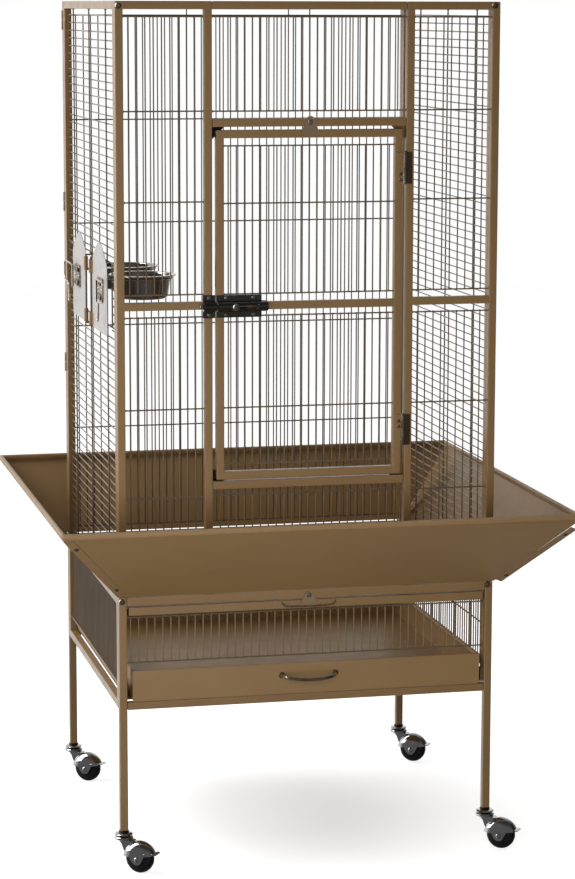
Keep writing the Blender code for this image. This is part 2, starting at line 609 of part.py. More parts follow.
def bow(half, out, r, y0, z):
    """Round bar bent as a bow standing out from the tray's front."""
    rings = []
    steps = 14
    for k in range(steps + 1):
        a = math.pi * k / steps
        p = Vector((-half * math.cos(a), y0 - out * math.sin(a) ** 0.8, z))
        side = Vector((-half * math.cos(a) / half, -math.sin(a), 0)).normalized()
        rings.append([p + r * (side * math.cos(t) + Vector((0, 0, 1)) * math.sin(t))
                      for t in (math.tau * i / 8 for i in range(8))])
    return swept(rings)


def build_guards():
    """Four flared sheets with a rolled rim, mitred at the corners."""
    rise = GUARD_RIM_Z - BASE_TOP
    for name, out, beside, axis, sign in (("seed_guard_front", "front", "side", "front", -1),
                                          ("seed_guard_back", "back", "side", "front", 1),
                                          ("seed_guard_left", "side", None, "side", -1),
                                          ("seed_guard_right", "side", None, "side", 1)):
        reach = GUARD_OUT[out]
        lean = math.hypot(reach, rise)
        nu, nv = rise / lean * GUARD_SHEET, -reach / lean * GUARD_SHEET
        top = (reach - 0.010, BASE_TOP + rise * (reach - 0.010) / reach)
        foot = (0.0009, BASE_TOP + 0.0012)
        profile = [foot, top, (reach - 0.009, GUARD_RIM_Z), (reach, GUARD_RIM_Z), (reach, GUARD_RIM_Z - 0.008),
                   (top[0] + nu + 0.002, top[1] + nv), (foot[0] + nu, foot[1] + nv)]
        half, first = (HALF_W, GUARD_OUT["side"]) if axis == "front" else (HALF_D, None)
        rings = []
        for end in (-1, 1):
            ring = []
            for o, z in profile:
                if axis == "front":
                    along = end * (half - 0.0008 + o * first / reach)
                    ring.append((along, sign * (HALF_D + o), z))
                else:
                    grow = GUARD_OUT["front"] if end < 0 else GUARD_OUT["back"]
                    along = end * (half - 0.0008 + o * grow / reach)
                    ring.append((sign * (HALF_W + o), along, z))
            rings.append(ring)
        named(scratch(swept(rings)), name, "sheet")


# ---------------------------------------------------------------- casters
def build_casters():
    reach = math.hypot(*TRAIL)
    turn = math.atan2(TRAIL[1], TRAIL[0])
    for sx, lr in ((-1, "left"), (1, "right")):
        for sy, fb in ((-1, "front"), (1, "back")):
            pivot = Vector((sx * (HALF_W - TUBE / 2), sy * (HALF_D - TUBE / 2), 0))
            place = Matrix.Translation(pivot) @ Matrix.Rotation(turn, 4, "Z")
            fork = caster_fork(reach)
            fork.data.transform(place)
            named(fork, f"{fb}_{lr}_fork", "steel", (pivot.x, pivot.y, 0.0560), smooth=True)
            wheel = caster_wheel(reach)
            wheel.data.transform(place)
            hub = place @ Vector((reach, 0, WHEEL_R))
            named(wheel, f"{fb}_{lr}_wheel", "tyre", hub, smooth=True)


def caster_fork(reach):
    """Hood over the wheel with two cheeks, an axle and a swivel head."""
    outer, inner, half = 0.0285, 0.0270, 0.0137
    hub = (reach, 0, WHEEL_R)
    arc = [math.radians(a) for a in range(20, 161, 20)]
    section = [(outer, a) for a in arc] + [(inner, a) for a in arc[::-1]]
    hood = swept([[(reach + r * math.cos(a), w, WHEEL_R + r * math.sin(a)) for r, a in section]
                  for w in (-half, half)])
    head = rod((0, 0, 0), 0.0125, 0.0520, 0.0577, sides=16)
    neck = boxes(((0, reach), (-0.0110, 0.0110), (0.0510, 0.0550)))
    cheek = [(reach + inner * 0.9, WHEEL_R + 0.0100), (reach + 0.014, WHEEL_R + 0.0240),
             (reach - 0.014, WHEEL_R + 0.0240), (reach - inner * 0.9, WHEEL_R + 0.0100),
             (reach - 0.006, WHEEL_R - 0.0055), (reach + 0.006, WHEEL_R - 0.0055)]
    cheeks = [swept([[(x, w, z) for x, z in cheek] for w in (s * half - s * 0.0014, s * half - s * 0.0001)])
              for s in (-1, 1)]
    axle = rod(hub, 0.0028, -half - 0.001, half + 0.001, "Y", 12)
    fork = union(hood, *cheeks, neck, head, axle)
    return combine(fork, scratch(rod((0, 0, 0), 0.0035, 0.0400, 0.0600, sides=8)), "DIFFERENCE")


def caster_wheel(reach):
    """Rounded wheel with a bored hub."""
    w, r = WHEEL_HALF, WHEEL_R
    profile = [(0.0032, -w), (0.0110, -w), (0.0185, -w * 0.78), (0.0222, -w * 0.42), (r, 0),
               (0.0222, w * 0.42), (0.0185, w * 0.78), (0.0110, w), (0.0032, w)]
    return scratch(turned(profile, 24, (reach, 0, WHEEL_R), "Y"))


build_front()
build_door()
build_back_and_roof()
build_sides()
build_hinges()
build_bolt()
build_gravity_latches()
for feeder, (hinge_line, outward) in FEEDERS.items():
    build_feeder(feeder, hinge_line, outward)
build_base()
build_runners()
build_grate()
build_tray()
build_guards()
build_casters()

for piece in bpy.data.objects:
    piece.location.y += CAGE_SHIFT
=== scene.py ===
# %% [markdown]
# # A bird cage on a wheeled stand
# The cage is welded from square steel tube and round wire, in flat panels that bolt together on a
# base with a slide-out tray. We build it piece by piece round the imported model, which says where
# every panel, hinge and wheel is. Each step says what the real thing is and why we make it so.

import math

import bpy
from mathutils import Matrix, Vector


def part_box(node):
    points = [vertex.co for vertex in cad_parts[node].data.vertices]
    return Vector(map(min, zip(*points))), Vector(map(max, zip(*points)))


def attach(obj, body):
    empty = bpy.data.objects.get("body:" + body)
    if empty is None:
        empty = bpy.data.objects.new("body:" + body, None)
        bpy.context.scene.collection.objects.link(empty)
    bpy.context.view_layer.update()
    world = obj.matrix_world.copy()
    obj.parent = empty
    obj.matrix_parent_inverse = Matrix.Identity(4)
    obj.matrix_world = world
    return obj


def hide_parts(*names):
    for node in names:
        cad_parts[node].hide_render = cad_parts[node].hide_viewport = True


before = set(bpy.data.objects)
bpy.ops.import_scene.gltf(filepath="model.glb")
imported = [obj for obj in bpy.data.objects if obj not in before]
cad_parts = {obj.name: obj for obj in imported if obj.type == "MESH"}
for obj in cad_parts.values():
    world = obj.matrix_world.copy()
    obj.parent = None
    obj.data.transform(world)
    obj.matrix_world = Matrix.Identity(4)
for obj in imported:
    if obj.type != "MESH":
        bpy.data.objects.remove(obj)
bpy.ops.object.select_all(action="DESELECT")
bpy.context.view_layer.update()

# %% [markdown]
# The viewpoint comes first. It stands to the left of the cage and a little above its middle, and
# looks slightly down and to the right through a long lens, so that the uprights stay nearly parallel.

# %% Camera
EYE = Vector((-0.9927, -4.4445, 1.3598))
YAW, TILT, ROLL = -0.22509, -0.15588, 0.00217
LENS_MM = 113.18


def place_camera():
    """Aim the camera by its turn about the upright, its tilt and its roll."""
    ahead = Vector((-math.sin(YAW) * math.cos(TILT), math.cos(YAW) * math.cos(TILT), math.sin(TILT)))
    level = ahead.cross(Vector((0, 0, 1))).normalized()
    up = level.cross(ahead)
    right = level * math.cos(ROLL) + up * math.sin(ROLL)
    up = up * math.cos(ROLL) - level * math.sin(ROLL)
    bpy.ops.object.camera_add(location=EYE)
    camera = bpy.context.object
    camera.name = "Camera"
    camera.matrix_world = Matrix.Translation(EYE) @ Matrix((right, up, -ahead)).transposed().to_4x4()
    camera.data.lens = LENS_MM
    camera.data.sensor_width = 36
    bpy.context.scene.camera = camera


place_camera()
print("camera at", [round(v, 3) for v in EYE])

# %% [markdown]
# The studio is a white floor that runs into a white background. The floor glows, as a lit sweep of
# paper does, and its glow is kept out of the cage's own light and reflections, because it would wash
# out the legs and the faces that look down. The shadow under the cage is a soft dip in that glow.

# %% Floor
def ramp(tree, value, start, end, low, high):
    """Ease a value from low at start to high at end."""
    node = tree.nodes.new("ShaderNodeMapRange")
    node.interpolation_type = "SMOOTHSTEP"
    for key, number in (("From Min", start), ("From Max", end), ("To Min", low), ("To Max", high)):
        node.inputs[key].default_value = number
    tree.links.new(value, node.inputs["Value"])
    return node.outputs["Result"]


def times(tree, first, second):
    """Multiply a value by a number or by another value."""
    node = tree.nodes.new("ShaderNodeMath")
    node.operation = "MULTIPLY"
    tree.links.new(first, node.inputs[0])
    if isinstance(second, float):
        node.inputs[1].default_value = second
    else:
        tree.links.new(second, node.inputs[1])
    return node.outputs[0]


def build_floor(shadow_glow=0.41, far_glow=0.76):
    """White floor that glows as a lit studio sweep does, with a painted soft shadow under the cage."""
    bpy.ops.mesh.primitive_circle_add(vertices=96, radius=9, fill_type="NGON")
    floor = bpy.context.object
    floor.name = "studio_floor"
    paint = bpy.data.materials.new("studio_white")
    paint.use_nodes = True
    tree = paint.node_tree
    shader = tree.nodes["Principled BSDF"]
    shader.inputs["Base Color"].default_value = (0.86, 0.86, 0.86, 1)
    shader.inputs["Roughness"].default_value = 0.9
    shader.inputs["Specular IOR Level"].default_value = 0.1
    shader.inputs["Emission Color"].default_value = (1, 1, 1, 1)
    coords = tree.nodes.new("ShaderNodeTexCoord")
    distance = tree.nodes.new("ShaderNodeVectorMath")
    distance.operation = "LENGTH"
    tree.links.new(coords.outputs["Object"], distance.inputs[0])
    tree.links.new(ramp(tree, distance.outputs["Value"], 0.08, 0.48, shadow_glow, far_glow),
                   shader.inputs["Emission Strength"])
    floor.data.materials.append(paint)
    floor.visible_diffuse = False
    floor.visible_glossy = False


build_floor()
print("floor is in place")

# %% [markdown]
# The background is white behind the cage. The room is dimmer behind the viewer, overhead, under the
# floor and far to the right, so that brown faces stay brown and round metal gets dark streaks.

# %% Background
def build_sky(front=0.16, back=1.25, top=0.32, under=0.45, right=0.15):
    """White behind the cage, greyer above and below it, behind the viewer and far to the right."""
    world = bpy.data.worlds.new("studio")
    bpy.context.scene.world = world
    world.use_nodes = True
    tree = world.node_tree
    tree.nodes.clear()
    coords = tree.nodes.new("ShaderNodeTexCoord")
    split = tree.nodes.new("ShaderNodeSeparateXYZ")
    tree.links.new(coords.outputs["Generated"], split.inputs[0])
    depth = ramp(tree, split.outputs["Y"], -0.25, 0.55, front, back)
    above = ramp(tree, split.outputs["Z"], 0.25, 0.9, 1.0, top)
    below = ramp(tree, split.outputs["Z"], -0.70, -0.22, under, 1.0)
    shade = times(tree, depth, times(tree, above, below))
    shade = times(tree, shade, ramp(tree, split.outputs["X"], 0.40, 0.85, 1.0, right))
    glow = tree.nodes.new("ShaderNodeBackground")
    tree.links.new(shade, glow.inputs["Strength"])
    out = tree.nodes.new("ShaderNodeOutputWorld")
    tree.links.new(glow.outputs[0], out.inputs["Surface"])


build_sky()
print("background is in place")

# %% [markdown]
# Two softboxes stand on the left, one high and one level with the cage, and light the sides that
# face them. A third fills the front and makes no reflections.

# %% Softboxes
def add_softbox(name, place, target, size, power, seen=True):
    """A square area light at place, turned towards target. An unseen one makes no reflection."""
    bpy.ops.object.light_add(type="AREA", location=place)
    light = bpy.context.object
    light.name = name
    light.data.size = size
    light.data.energy = power
    light.visible_camera = False
    light.visible_glossy = seen
    light.rotation_euler = (Vector(target) - Vector(place)).to_track_quat("-Z", "Y").to_euler()


add_softbox("top_softbox", (-2.5, 0.5, 2.9), (0, 0, 0.4), 2.0, 72)
add_softbox("side_softbox", (-3.2, 0.3, 1.3), (0, 0, 0.8), 2.0, 34)
add_softbox("front_fill", (-0.5, -1.9, 0.45), (0, 0, 0.75), 1.7, 31, seen=False)
bpy.context.scene.view_settings.view_transform = "Standard"
print("three softboxes are in place")

# %% [markdown]
# All the brown parts wear a baked powder coat. Powder flows into a skin with a faint orange
# peel, its colour drifts a little, and it draws thin along sharp edges. We mix two browns with slow
# and fine noise, and lift the colour where a tube's edge is marked, as a painted highlight along the
# edge as well as thinner powder. A fine bump and a changing roughness break up the reflections.

# %% Node helpers for the finishes
def start_material(name, colour, rough, metal=0.0, coat=0.0):
    """A new material with its constants set on the shader, and its Object coordinates."""
    mat = bpy.data.materials.new(name)
    mat.use_nodes = True
    shader = mat.node_tree.nodes["Principled BSDF"]
    shader.inputs["Base Color"].default_value = (*colour, 1)
    shader.inputs["Roughness"].default_value = rough
    shader.inputs["Metallic"].default_value = metal
    shader.inputs["Coat Weight"].default_value = coat
    shader.inputs["Coat Roughness"].default_value = 0.12
    coords = mat.node_tree.nodes.new("ShaderNodeTexCoord")
    return mat, shader, coords.outputs["Object"]


def noise(mat, where, scale, detail=2.0, stretch=None):
    """Noise at a number of spots per metre, drawn out along an axis if stretch is given."""
    nodes, links = mat.node_tree.nodes, mat.node_tree.links
    if stretch:
        mapping = nodes.new("ShaderNodeMapping")
        mapping.inputs["Scale"].default_value = stretch
        links.new(where, mapping.inputs["Vector"])
        where = mapping.outputs["Vector"]
    texture = nodes.new("ShaderNodeTexNoise")
    texture.inputs["Scale"].default_value = scale
    texture.inputs["Detail"].default_value = detail
    links.new(where, texture.inputs["Vector"])
    return texture.outputs["Fac"]


def remap(mat, value, low, high, start=0.35, end=0.65):
    """Stretch the middle of a value's range to low..high."""
    node = mat.node_tree.nodes.new("ShaderNodeMapRange")
    for key, number in (("From Min", start), ("From Max", end), ("To Min", low), ("To Max", high)):
        node.inputs[key].default_value = number
    mat.node_tree.links.new(value, node.inputs["Value"])
    return node.outputs["Result"]


def blend_colours(mat, factor, first, second):
    """Mix two colours, each a plain colour or another node's output."""
    node = mat.node_tree.nodes.new("ShaderNodeMix")
    node.data_type = "RGBA"
    mat.node_tree.links.new(factor, node.inputs["Factor"])
    for key, colour in (("A", first), ("B", second)):
        socket = [s for s in node.inputs if s.name == key and s.type == "RGBA"][0]
        if isinstance(colour, tuple):
            socket.default_value = (*colour, 1)
        else:
            mat.node_tree.links.new(colour, socket)
    return [s for s in node.outputs if s.type == "RGBA"][0]


def emboss(mat, shader, height, strength, depth):
    """Bump the surface by a height of so many metres."""
    node = mat.node_tree.nodes.new("ShaderNodeBump")
    node.inputs["Strength"].default_value = strength
    node.inputs["Distance"].default_value = depth
    mat.node_tree.links.new(height, node.inputs["Height"])
    mat.node_tree.links.new(node.outputs["Normal"], shader.inputs["Normal"])


def wire_up(mat, output, shader, socket):
    mat.node_tree.links.new(output, shader.inputs[socket])


# %% [markdown]
# Tubes, wires and sheets came out of the same oven. The wire coat is the tube coat darkened, as
# painted shade on wires that stand dark against the light, and sheet is a little lighter and duller.
# So one recipe makes three coats.

# %% The brown powder coat
def powder_coat(name, deep, pale, speckle_and_highlight, peel=650, rough=(0.30, 0.42), coat=0.28):
    """Coat colour between deep and pale, with a painted highlight where the edge attribute is set."""
    mat, shader, where = start_material(name, deep, rough[0], coat=coat)
    drift = remap(mat, noise(mat, where, 9), 0, 1)
    grain = remap(mat, noise(mat, where, 1500), 0, 1)
    colour = blend_colours(mat, drift, deep, pale)
    colour = blend_colours(mat, times(mat.node_tree, grain, 0.12), colour, speckle_and_highlight)
    # Where the edge attribute is set the colour is lifted: a painted edge highlight, with thinner powder.
    edge = mat.node_tree.nodes.new("ShaderNodeAttribute")
    edge.attribute_name = "edge"
    edge_highlight = times(mat.node_tree, edge.outputs["Fac"], remap(mat, noise(mat, where, 60), 0.15, 0.6))
    colour = blend_colours(mat, edge_highlight, colour, speckle_and_highlight)
    wire_up(mat, colour, shader, "Base Color")
    wire_up(mat, remap(mat, noise(mat, where, 35), *rough), shader, "Roughness")
    emboss(mat, shader, noise(mat, where, peel, 3), 0.25, 0.0002)
    return mat


THIN_COAT_AND_HIGHLIGHT = (0.36, 0.25, 0.15)
TUBE_COAT = powder_coat("brown_powder_coat", (0.228, 0.130, 0.047), (0.244, 0.142, 0.054), THIN_COAT_AND_HIGHLIGHT)
# The wire coat is darker as painted shade.
SHADED_WIRE_COAT = powder_coat("shaded_brown_wire_coat", (0.118, 0.083, 0.050), (0.135, 0.096, 0.059), (0.24, 0.18, 0.12))
SHEET_COAT = powder_coat("brown_sheet_coat", (0.272, 0.160, 0.063), (0.286, 0.170, 0.069), THIN_COAT_AND_HIGHLIGHT,
                         peel=420, rough=(0.40, 0.48), coat=0.03)
LATCH_COAT = powder_coat("bronze_latch_coat", (0.200, 0.130, 0.068), (0.222, 0.147, 0.080),
                         (0.42, 0.33, 0.22), peel=900, rough=(0.26, 0.36), coat=0.30)
print("powder coats:", TUBE_COAT.name, SHADED_WIRE_COAT.name, SHEET_COAT.name)

# %% [markdown]
# The bare metals differ in how they were finished. Cups are spun stainless steel, with fine rings
# left by the tool; caster hoods and the tray's pull are polished chrome; the barrel bolt and hinges
# are a darker, smoky chrome; screws are plated with warm or white zinc; the catches' housings are
# bronze. All are full metals, and their streaks and smudges live mostly in the roughness.

# %% Metals
def bare_metal(name, colour, dull, rough, streak=(1, 1, 1), scale=220, bump=0.08):
    """A metal whose colour fades a little to dull and whose polish varies in streaks."""
    mat, shader, where = start_material(name, colour, rough[0], metal=1.0)
    smudge = remap(mat, noise(mat, where, 45, 3), 0, 1)
    wire_up(mat, blend_colours(mat, smudge, colour, dull), shader, "Base Color")
    lines = noise(mat, where, scale, 3, stretch=streak)
    wire_up(mat, remap(mat, lines, *rough), shader, "Roughness")
    emboss(mat, shader, lines, bump, 0.0001)
    return mat


STAINLESS = bare_metal("spun_stainless", (0.50, 0.465, 0.43), (0.46, 0.43, 0.395), (0.05, 0.10),
                       streak=(1, 1, 14), scale=60, bump=0.006)
CHROME = bare_metal("polished_chrome", (0.64, 0.64, 0.64), (0.56, 0.56, 0.57), (0.03, 0.08), bump=0.01)
SMOKY_CHROME = bare_metal("smoky_chrome", (0.185, 0.185, 0.17), (0.145, 0.145, 0.135), (0.20, 0.26),
                          bump=0.01)
SCREW_STEEL = bare_metal("screw_steel", (0.62, 0.55, 0.45), (0.40, 0.33, 0.25), (0.16, 0.30),
                         scale=500, bump=0.02)
BRONZE = bare_metal("bronze_plate", (0.25, 0.19, 0.13), (0.20, 0.15, 0.10), (0.24, 0.34),
                    scale=120, bump=0.03)
WHITE_ZINC = bare_metal("white_zinc", (0.86, 0.84, 0.80), (0.74, 0.71, 0.66), (0.30, 0.42), bump=0.02)
WARM_CHROME = bare_metal("warm_chrome", (0.62, 0.54, 0.44), (0.42, 0.34, 0.25), (0.10, 0.22), bump=0.02)


METALS = (STAINLESS, CHROME, SMOKY_CHROME, SCREW_STEEL, BRONZE, WHITE_ZINC, WARM_CHROME)
print("metals:", [metal.name for metal in METALS])

# %% [markdown]
# The feeder plates are painted a light satin grey with a faint mottle. The wheels are moulded black
# rubber that scuffs to grey, and the plugs in the legs look the same. The two gussets on the left
# wear it too, as painted shade in the gap behind the door.

# %% Plate paint and rubber
def pale_plate_paint():
    """Light grey satin paint with a faint mottle."""
    mat, shader, where = start_material("pale_plate_paint", (0.42, 0.40, 0.38), 0.4)
    mottle = remap(mat, noise(mat, where, 90, 4), 0, 1)
    wire_up(mat, blend_colours(mat, mottle, (0.40, 0.375, 0.36), (0.45, 0.43, 0.41)), shader, "Base Color")
    wire_up(mat, remap(mat, noise(mat, where, 300), 0.32, 0.5), shader, "Roughness")
    emboss(mat, shader, noise(mat, where, 800, 2), 0.12, 0.0001)
    return mat


def black_rubber():
    """Moulded tread rubber, scuffed grey in places."""
    mat, shader, where = start_material("wheel_rubber", (0.012, 0.012, 0.013), 0.45)
    scuff = remap(mat, noise(mat, where, 160, 5), 0, 0.35, 0.5, 0.72)
    tread = blend_colours(mat, scuff, (0.005, 0.005, 0.006), (0.020, 0.019, 0.018))
    wire_up(mat, tread, shader, "Base Color")
    wire_up(mat, remap(mat, noise(mat, where, 400), 0.35, 0.6), shader, "Roughness")
    emboss(mat, shader, noise(mat, where, 900, 3), 0.2, 0.0002)
    return mat


PLATE_PAINT, RUBBER = pale_plate_paint(), black_rubber()
print("paint and rubber:", PLATE_PAINT.name, RUBBER.name)

# %% [markdown]
# The frames are half-inch square steel tube. A cube is stretched to each tube's place and its edges
# are beveled in edit mode, because real tube has rounded corners that catch the light. The middle of
# each bevel is marked in an attribute, where the coat gets a painted highlight and thinner powder.

# %% Tubes and blocks
def use(*pieces):
    """Select only these pieces, the first one active."""
    bpy.ops.object.select_all(action="DESELECT")
    for piece in pieces:
        piece.select_set(True)
    bpy.context.view_layer.objects.active = pieces[0]


def modify(piece, kind, **settings):
    """Give a piece a modifier with these settings and apply it."""
    use(piece)
    bpy.ops.object.modifier_add(type=kind)
    modifier = piece.modifiers[-1]
    for setting, value in settings.items():
        setattr(modifier, setting, value)
    bpy.ops.object.modifier_apply(modifier=modifier.name)


def edit_faces(piece, wanted):
    """Enter edit mode with only the faces selected that the test wants."""
    use(piece)
    bpy.ops.object.mode_set(mode="EDIT")
    bpy.ops.mesh.select_mode(type="FACE")
    bpy.ops.mesh.select_all(action="DESELECT")
    bpy.ops.object.mode_set(mode="OBJECT")
    for face in piece.data.polygons:
        face.select = wanted(face)
    bpy.ops.object.mode_set(mode="EDIT")


def leave_edit():
    bpy.ops.mesh.select_mode(type="VERT")
    bpy.ops.object.mode_set(mode="OBJECT")


EDGE_R = 0.0016


def block(x, y, z, paint, corner=EDGE_R, steps=3):
    """A bar between two ends on each axis, with its edges rounded and marked."""
    ends = [sorted(pair) for pair in (x, y, z)]
    middle = Vector([(low + high) / 2 for low, high in ends])
    size = Vector([high - low for low, high in ends])
    bpy.ops.object.select_all(action="DESELECT")
    bpy.ops.mesh.primitive_cube_add(size=1, location=middle, scale=size)
    bpy.ops.object.transform_apply(location=True, rotation=True, scale=True)
    bpy.ops.object.mode_set(mode="EDIT")
    bpy.ops.mesh.bevel(offset=min(corner, 0.45 * min(size)), segments=steps, affect="EDGES")
    bpy.ops.object.mode_set(mode="OBJECT")
    bar = bpy.context.object
    mark = bar.data.attributes.new("edge", "FLOAT", "POINT")
    for vertex, value in zip(bar.data.vertices, mark.data):
        inset = min(size[k] / 2 - abs(vertex.co[k] - middle[k]) for k in range(3))
        value.value = float(inset > 1e-6)
    bar.data.materials.append(paint)
    return bar


# %% [markdown]
# Bars and cross wires are drawn steel wire. One cylinder makes the first bar of a row and an Array
# modifier repeats it at half an inch. The cross wires lie on the outside of the bars, where they were
# pressed on by the welder, and each ends in a small bead of weld against the tube.

# %% Wires, rows and weld beads
def rod(start, end, radius, paint, sides=10):
    """A straight round wire between two points."""
    start, end = Vector(start), Vector(end)
    along = end - start
    bpy.ops.object.select_all(action="DESELECT")
    bpy.ops.mesh.primitive_cylinder_add(vertices=sides, radius=radius, depth=along.length,
                                        location=(start + end) / 2,
                                        rotation=along.to_track_quat("Z", "Y").to_euler())
    bpy.ops.object.transform_apply(location=True, rotation=True, scale=True)
    wire = bpy.context.object
    wire.data.materials.append(paint)
    return wire


def row(piece, count, step):
    """Repeat a piece along a line."""
    modify(piece, "ARRAY", count=count, use_relative_offset=False, use_constant_offset=True,
           constant_offset_displace=step)
    return piece


def bead(point, paint, size=(0.0024, 0.0024, 0.0020)):
    """A blob of weld."""
    bpy.ops.object.select_all(action="DESELECT")
    bpy.ops.mesh.primitive_uv_sphere_add(segments=8, ring_count=5, radius=1, location=point, scale=size)
    bpy.ops.object.transform_apply(location=True, rotation=True, scale=True)
    blob = bpy.context.object
    blob.data.materials.append(paint)
    return blob


# %% [markdown]
# A finished piece is joined from its parts, smoothed only across shallow angles, and given weighted
# normals so that flat tube faces stay flat beside their rounded edges. Then it rides on the body it
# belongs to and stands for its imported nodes.


def joined(parts):
    """All the parts as one piece."""
    use(*parts)
    if len(parts) > 1:
        bpy.ops.object.join()
    return bpy.context.object


def finish(parts, name, body, nodes):
    """Join parts into one named piece on a body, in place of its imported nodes."""
    piece = joined(parts)
    piece.name = piece.data.name = name
    bpy.ops.object.shade_smooth_by_angle(angle=math.radians(50))
    modify(piece, "WEIGHTED_NORMAL", keep_sharp=True)
    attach(piece, body)
    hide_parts(*nodes)
    print(f"{name}: {len(piece.data.polygons)} faces on {body}")
    return piece


# %% [markdown]
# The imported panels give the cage's outside faces. From here on a panel is described by u along it,
# v up it (or back, on the roof) and w through it, so that the same few helpers build all of them.

# %% Where the cage's faces are
TUBE = 0.0127
GAP = 0.0003
BAR, CROSS = 0.00105, 0.0012
PITCH = 0.01285
panel_low, panel_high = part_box("front_left_panel")
SIDE, FRONT, FOOT, TOP = -panel_low.x, panel_low.y, panel_low.z, panel_high.z
JAMB = (-panel_high.x, -panel_high.x + TUBE)
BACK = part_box("back_panel")[1].y
MIDDLE = (FRONT + BACK) / 2
BASE_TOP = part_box("base_front_rail")[1].z
FRONT_TUBE, BACK_TUBE = (FRONT, FRONT + TUBE), (BACK - TUBE, BACK)
LEFT_TUBE, RIGHT_TUBE = (-SIDE, -SIDE + TUBE), (SIDE - TUBE, SIDE)
LOW_END, TOP_END = 0.456, 1.3424
print("cage:", round(2 * SIDE, 4), "wide,", round(BACK - FRONT, 4), "deep,",
      "panels from", round(FOOT, 4), "to", TOP)


def at(place, u, v, w):
    """Turn a panel's own directions into x, y and z."""
    return {"front": (u, w, v), "side": (w, u, v), "roof": (u, v, w)}[place]


def tube(place, u, v, w):
    return block(*at(place, u, v, w), TUBE_COAT)


def bars(place, first, count, span, w, upright=True, pitch=PITCH, paint=SHADED_WIRE_COAT):
    """A row of bars at the pitch, each running over the span."""
    if upright:
        ends = [at(place, first, v, w) for v in span]
        step = at(place, pitch, 0, 0)
    else:
        ends = [at(place, u, first, w) for u in span]
        step = at(place, 0, pitch, 0)
    return row(rod(*ends, BAR, paint), count, step)


def cross(place, line, span, w, upright=False, beads=True):
    """One cross wire over a span, with a weld bead at each end."""
    ends = [at(place, line, v, w) if upright else at(place, u, line, w) for v, u in zip(span, span)]
    parts = [rod(*ends, CROSS, SHADED_WIRE_COAT)]
    if beads:
        parts += [bead(end, TUBE_COAT) for end in ends]
    return parts


# %% [markdown]
# The front is bolted together from four welded panels: a tall one on each side of the door, one over
# the door and one under it. The side ones have a post, a jamb, a top rail and a rail half way up.

# %% The panels beside the door
MID_RAIL = (0.8932, 0.9057)
SIDE_PANEL_ROWS = ((LOW_END - BAR, 0.8834), (0.9156, TOP_END + BAR))
SIDE_PANEL_WIRES = (TOP_END, 1.199, 1.060, 0.917, 0.882, 0.738, 0.5985, LOW_END)
front_bar = FRONT + TUBE / 2
front_cross = front_bar - BAR - CROSS
BITE = 0.0015


def front_side(name, node, side, first_bar):
    post = (side * (SIDE - TUBE), side * SIDE)
    jamb = (side * JAMB[0], side * JAMB[1])
    between = sorted((side * (JAMB[1] - BITE), side * (SIDE - TUBE + BITE)))
    parts = [tube("front", post, (FOOT, TOP), FRONT_TUBE), tube("front", jamb, (FOOT, TOP), FRONT_TUBE)]
    parts += [tube("front", between, rail, FRONT_TUBE) for rail in ((TOP - TUBE, TOP), MID_RAIL)]
    for span in SIDE_PANEL_ROWS:
        parts.append(bars("front", first_bar, 9, span, front_bar))
    inside = sorted((side * JAMB[1], side * (SIDE - TUBE)))
    for line in SIDE_PANEL_WIRES:
        parts += cross("front", line, inside, front_cross)
    finish(parts, name, "cage", [node])


front_side("left_front_grille", "front_left_panel", -1, -0.2833)
front_side("right_front_grille", "front_right_panel", 1, 0.1765)

# %% [markdown]
# The panel over the door has a top rail and the header; the one below has a sill. Small three-sided
# gussets behind the corners of the door opening keep the door from swinging inwards; the left ones
# are black, as painted shade in the gap. The middle bar of each row is longer and is welded to the rail.

# %% The panels over and under the door
HEADER = (1.1747, 1.1874)
SILL = (0.610, 0.6229)
opening = JAMB[0] - GAP


def plate(outline, thick, paint, corner=0.0):
    """A sheet with this outline, pulled out along thick, its edges eased if a corner is given."""
    bpy.ops.object.select_all(action="DESELECT")
    bpy.ops.mesh.primitive_circle_add(vertices=len(outline), radius=0.01, fill_type="NGON")
    sheet = bpy.context.object
    for vertex, point in zip(sheet.data.vertices, outline):
        vertex.co = point
    bpy.ops.object.mode_set(mode="EDIT")
    bpy.ops.mesh.select_all(action="SELECT")
    bpy.ops.mesh.extrude_region_move(TRANSFORM_OT_translate={"value": thick})
    bpy.ops.mesh.select_all(action="SELECT")
    bpy.ops.mesh.normals_make_consistent(inside=False)
    bpy.ops.object.mode_set(mode="OBJECT")
    if corner:
        modify(sheet, "BEVEL", width=corner, segments=2, limit_method="ANGLE")
    sheet.data.materials.append(paint)
    return sheet


def gusset(side, corner_z, up):
    """A small triangle behind a corner of the door opening, black on the left as painted shade."""
    y = FRONT + TUBE + GAP
    x, leg = side * (JAMB[0] + 0.006), 0.034
    outline = [(x, y, corner_z), (x - side * leg, y, corner_z), (x, y, corner_z + up * leg)]
    # On the left the gusset is black rubber, painted shade in the gap behind the door.
    return plate(outline, (0, 0.0015, 0), RUBBER if side < 0 else TUBE_COAT, 0.0004)


def front_middle(name, node, rails, span, lines, long_bar, gusset_z, up, paint):
    parts = [tube("front", (-opening, opening), rail, FRONT_TUBE) for rail in rails]
    parts.append(bars("front", -0.1414, 23, span, front_bar, paint=paint))
    parts.append(rod((0, front_bar, long_bar[0]), (0, front_bar, long_bar[1]), BAR, paint))
    for line in lines:
        parts += cross("front", line, (-opening, opening), front_cross)
    parts += [gusset(side, gusset_z, up) for side in (-1, 1)]
    finish(parts, name, "cage", [node])


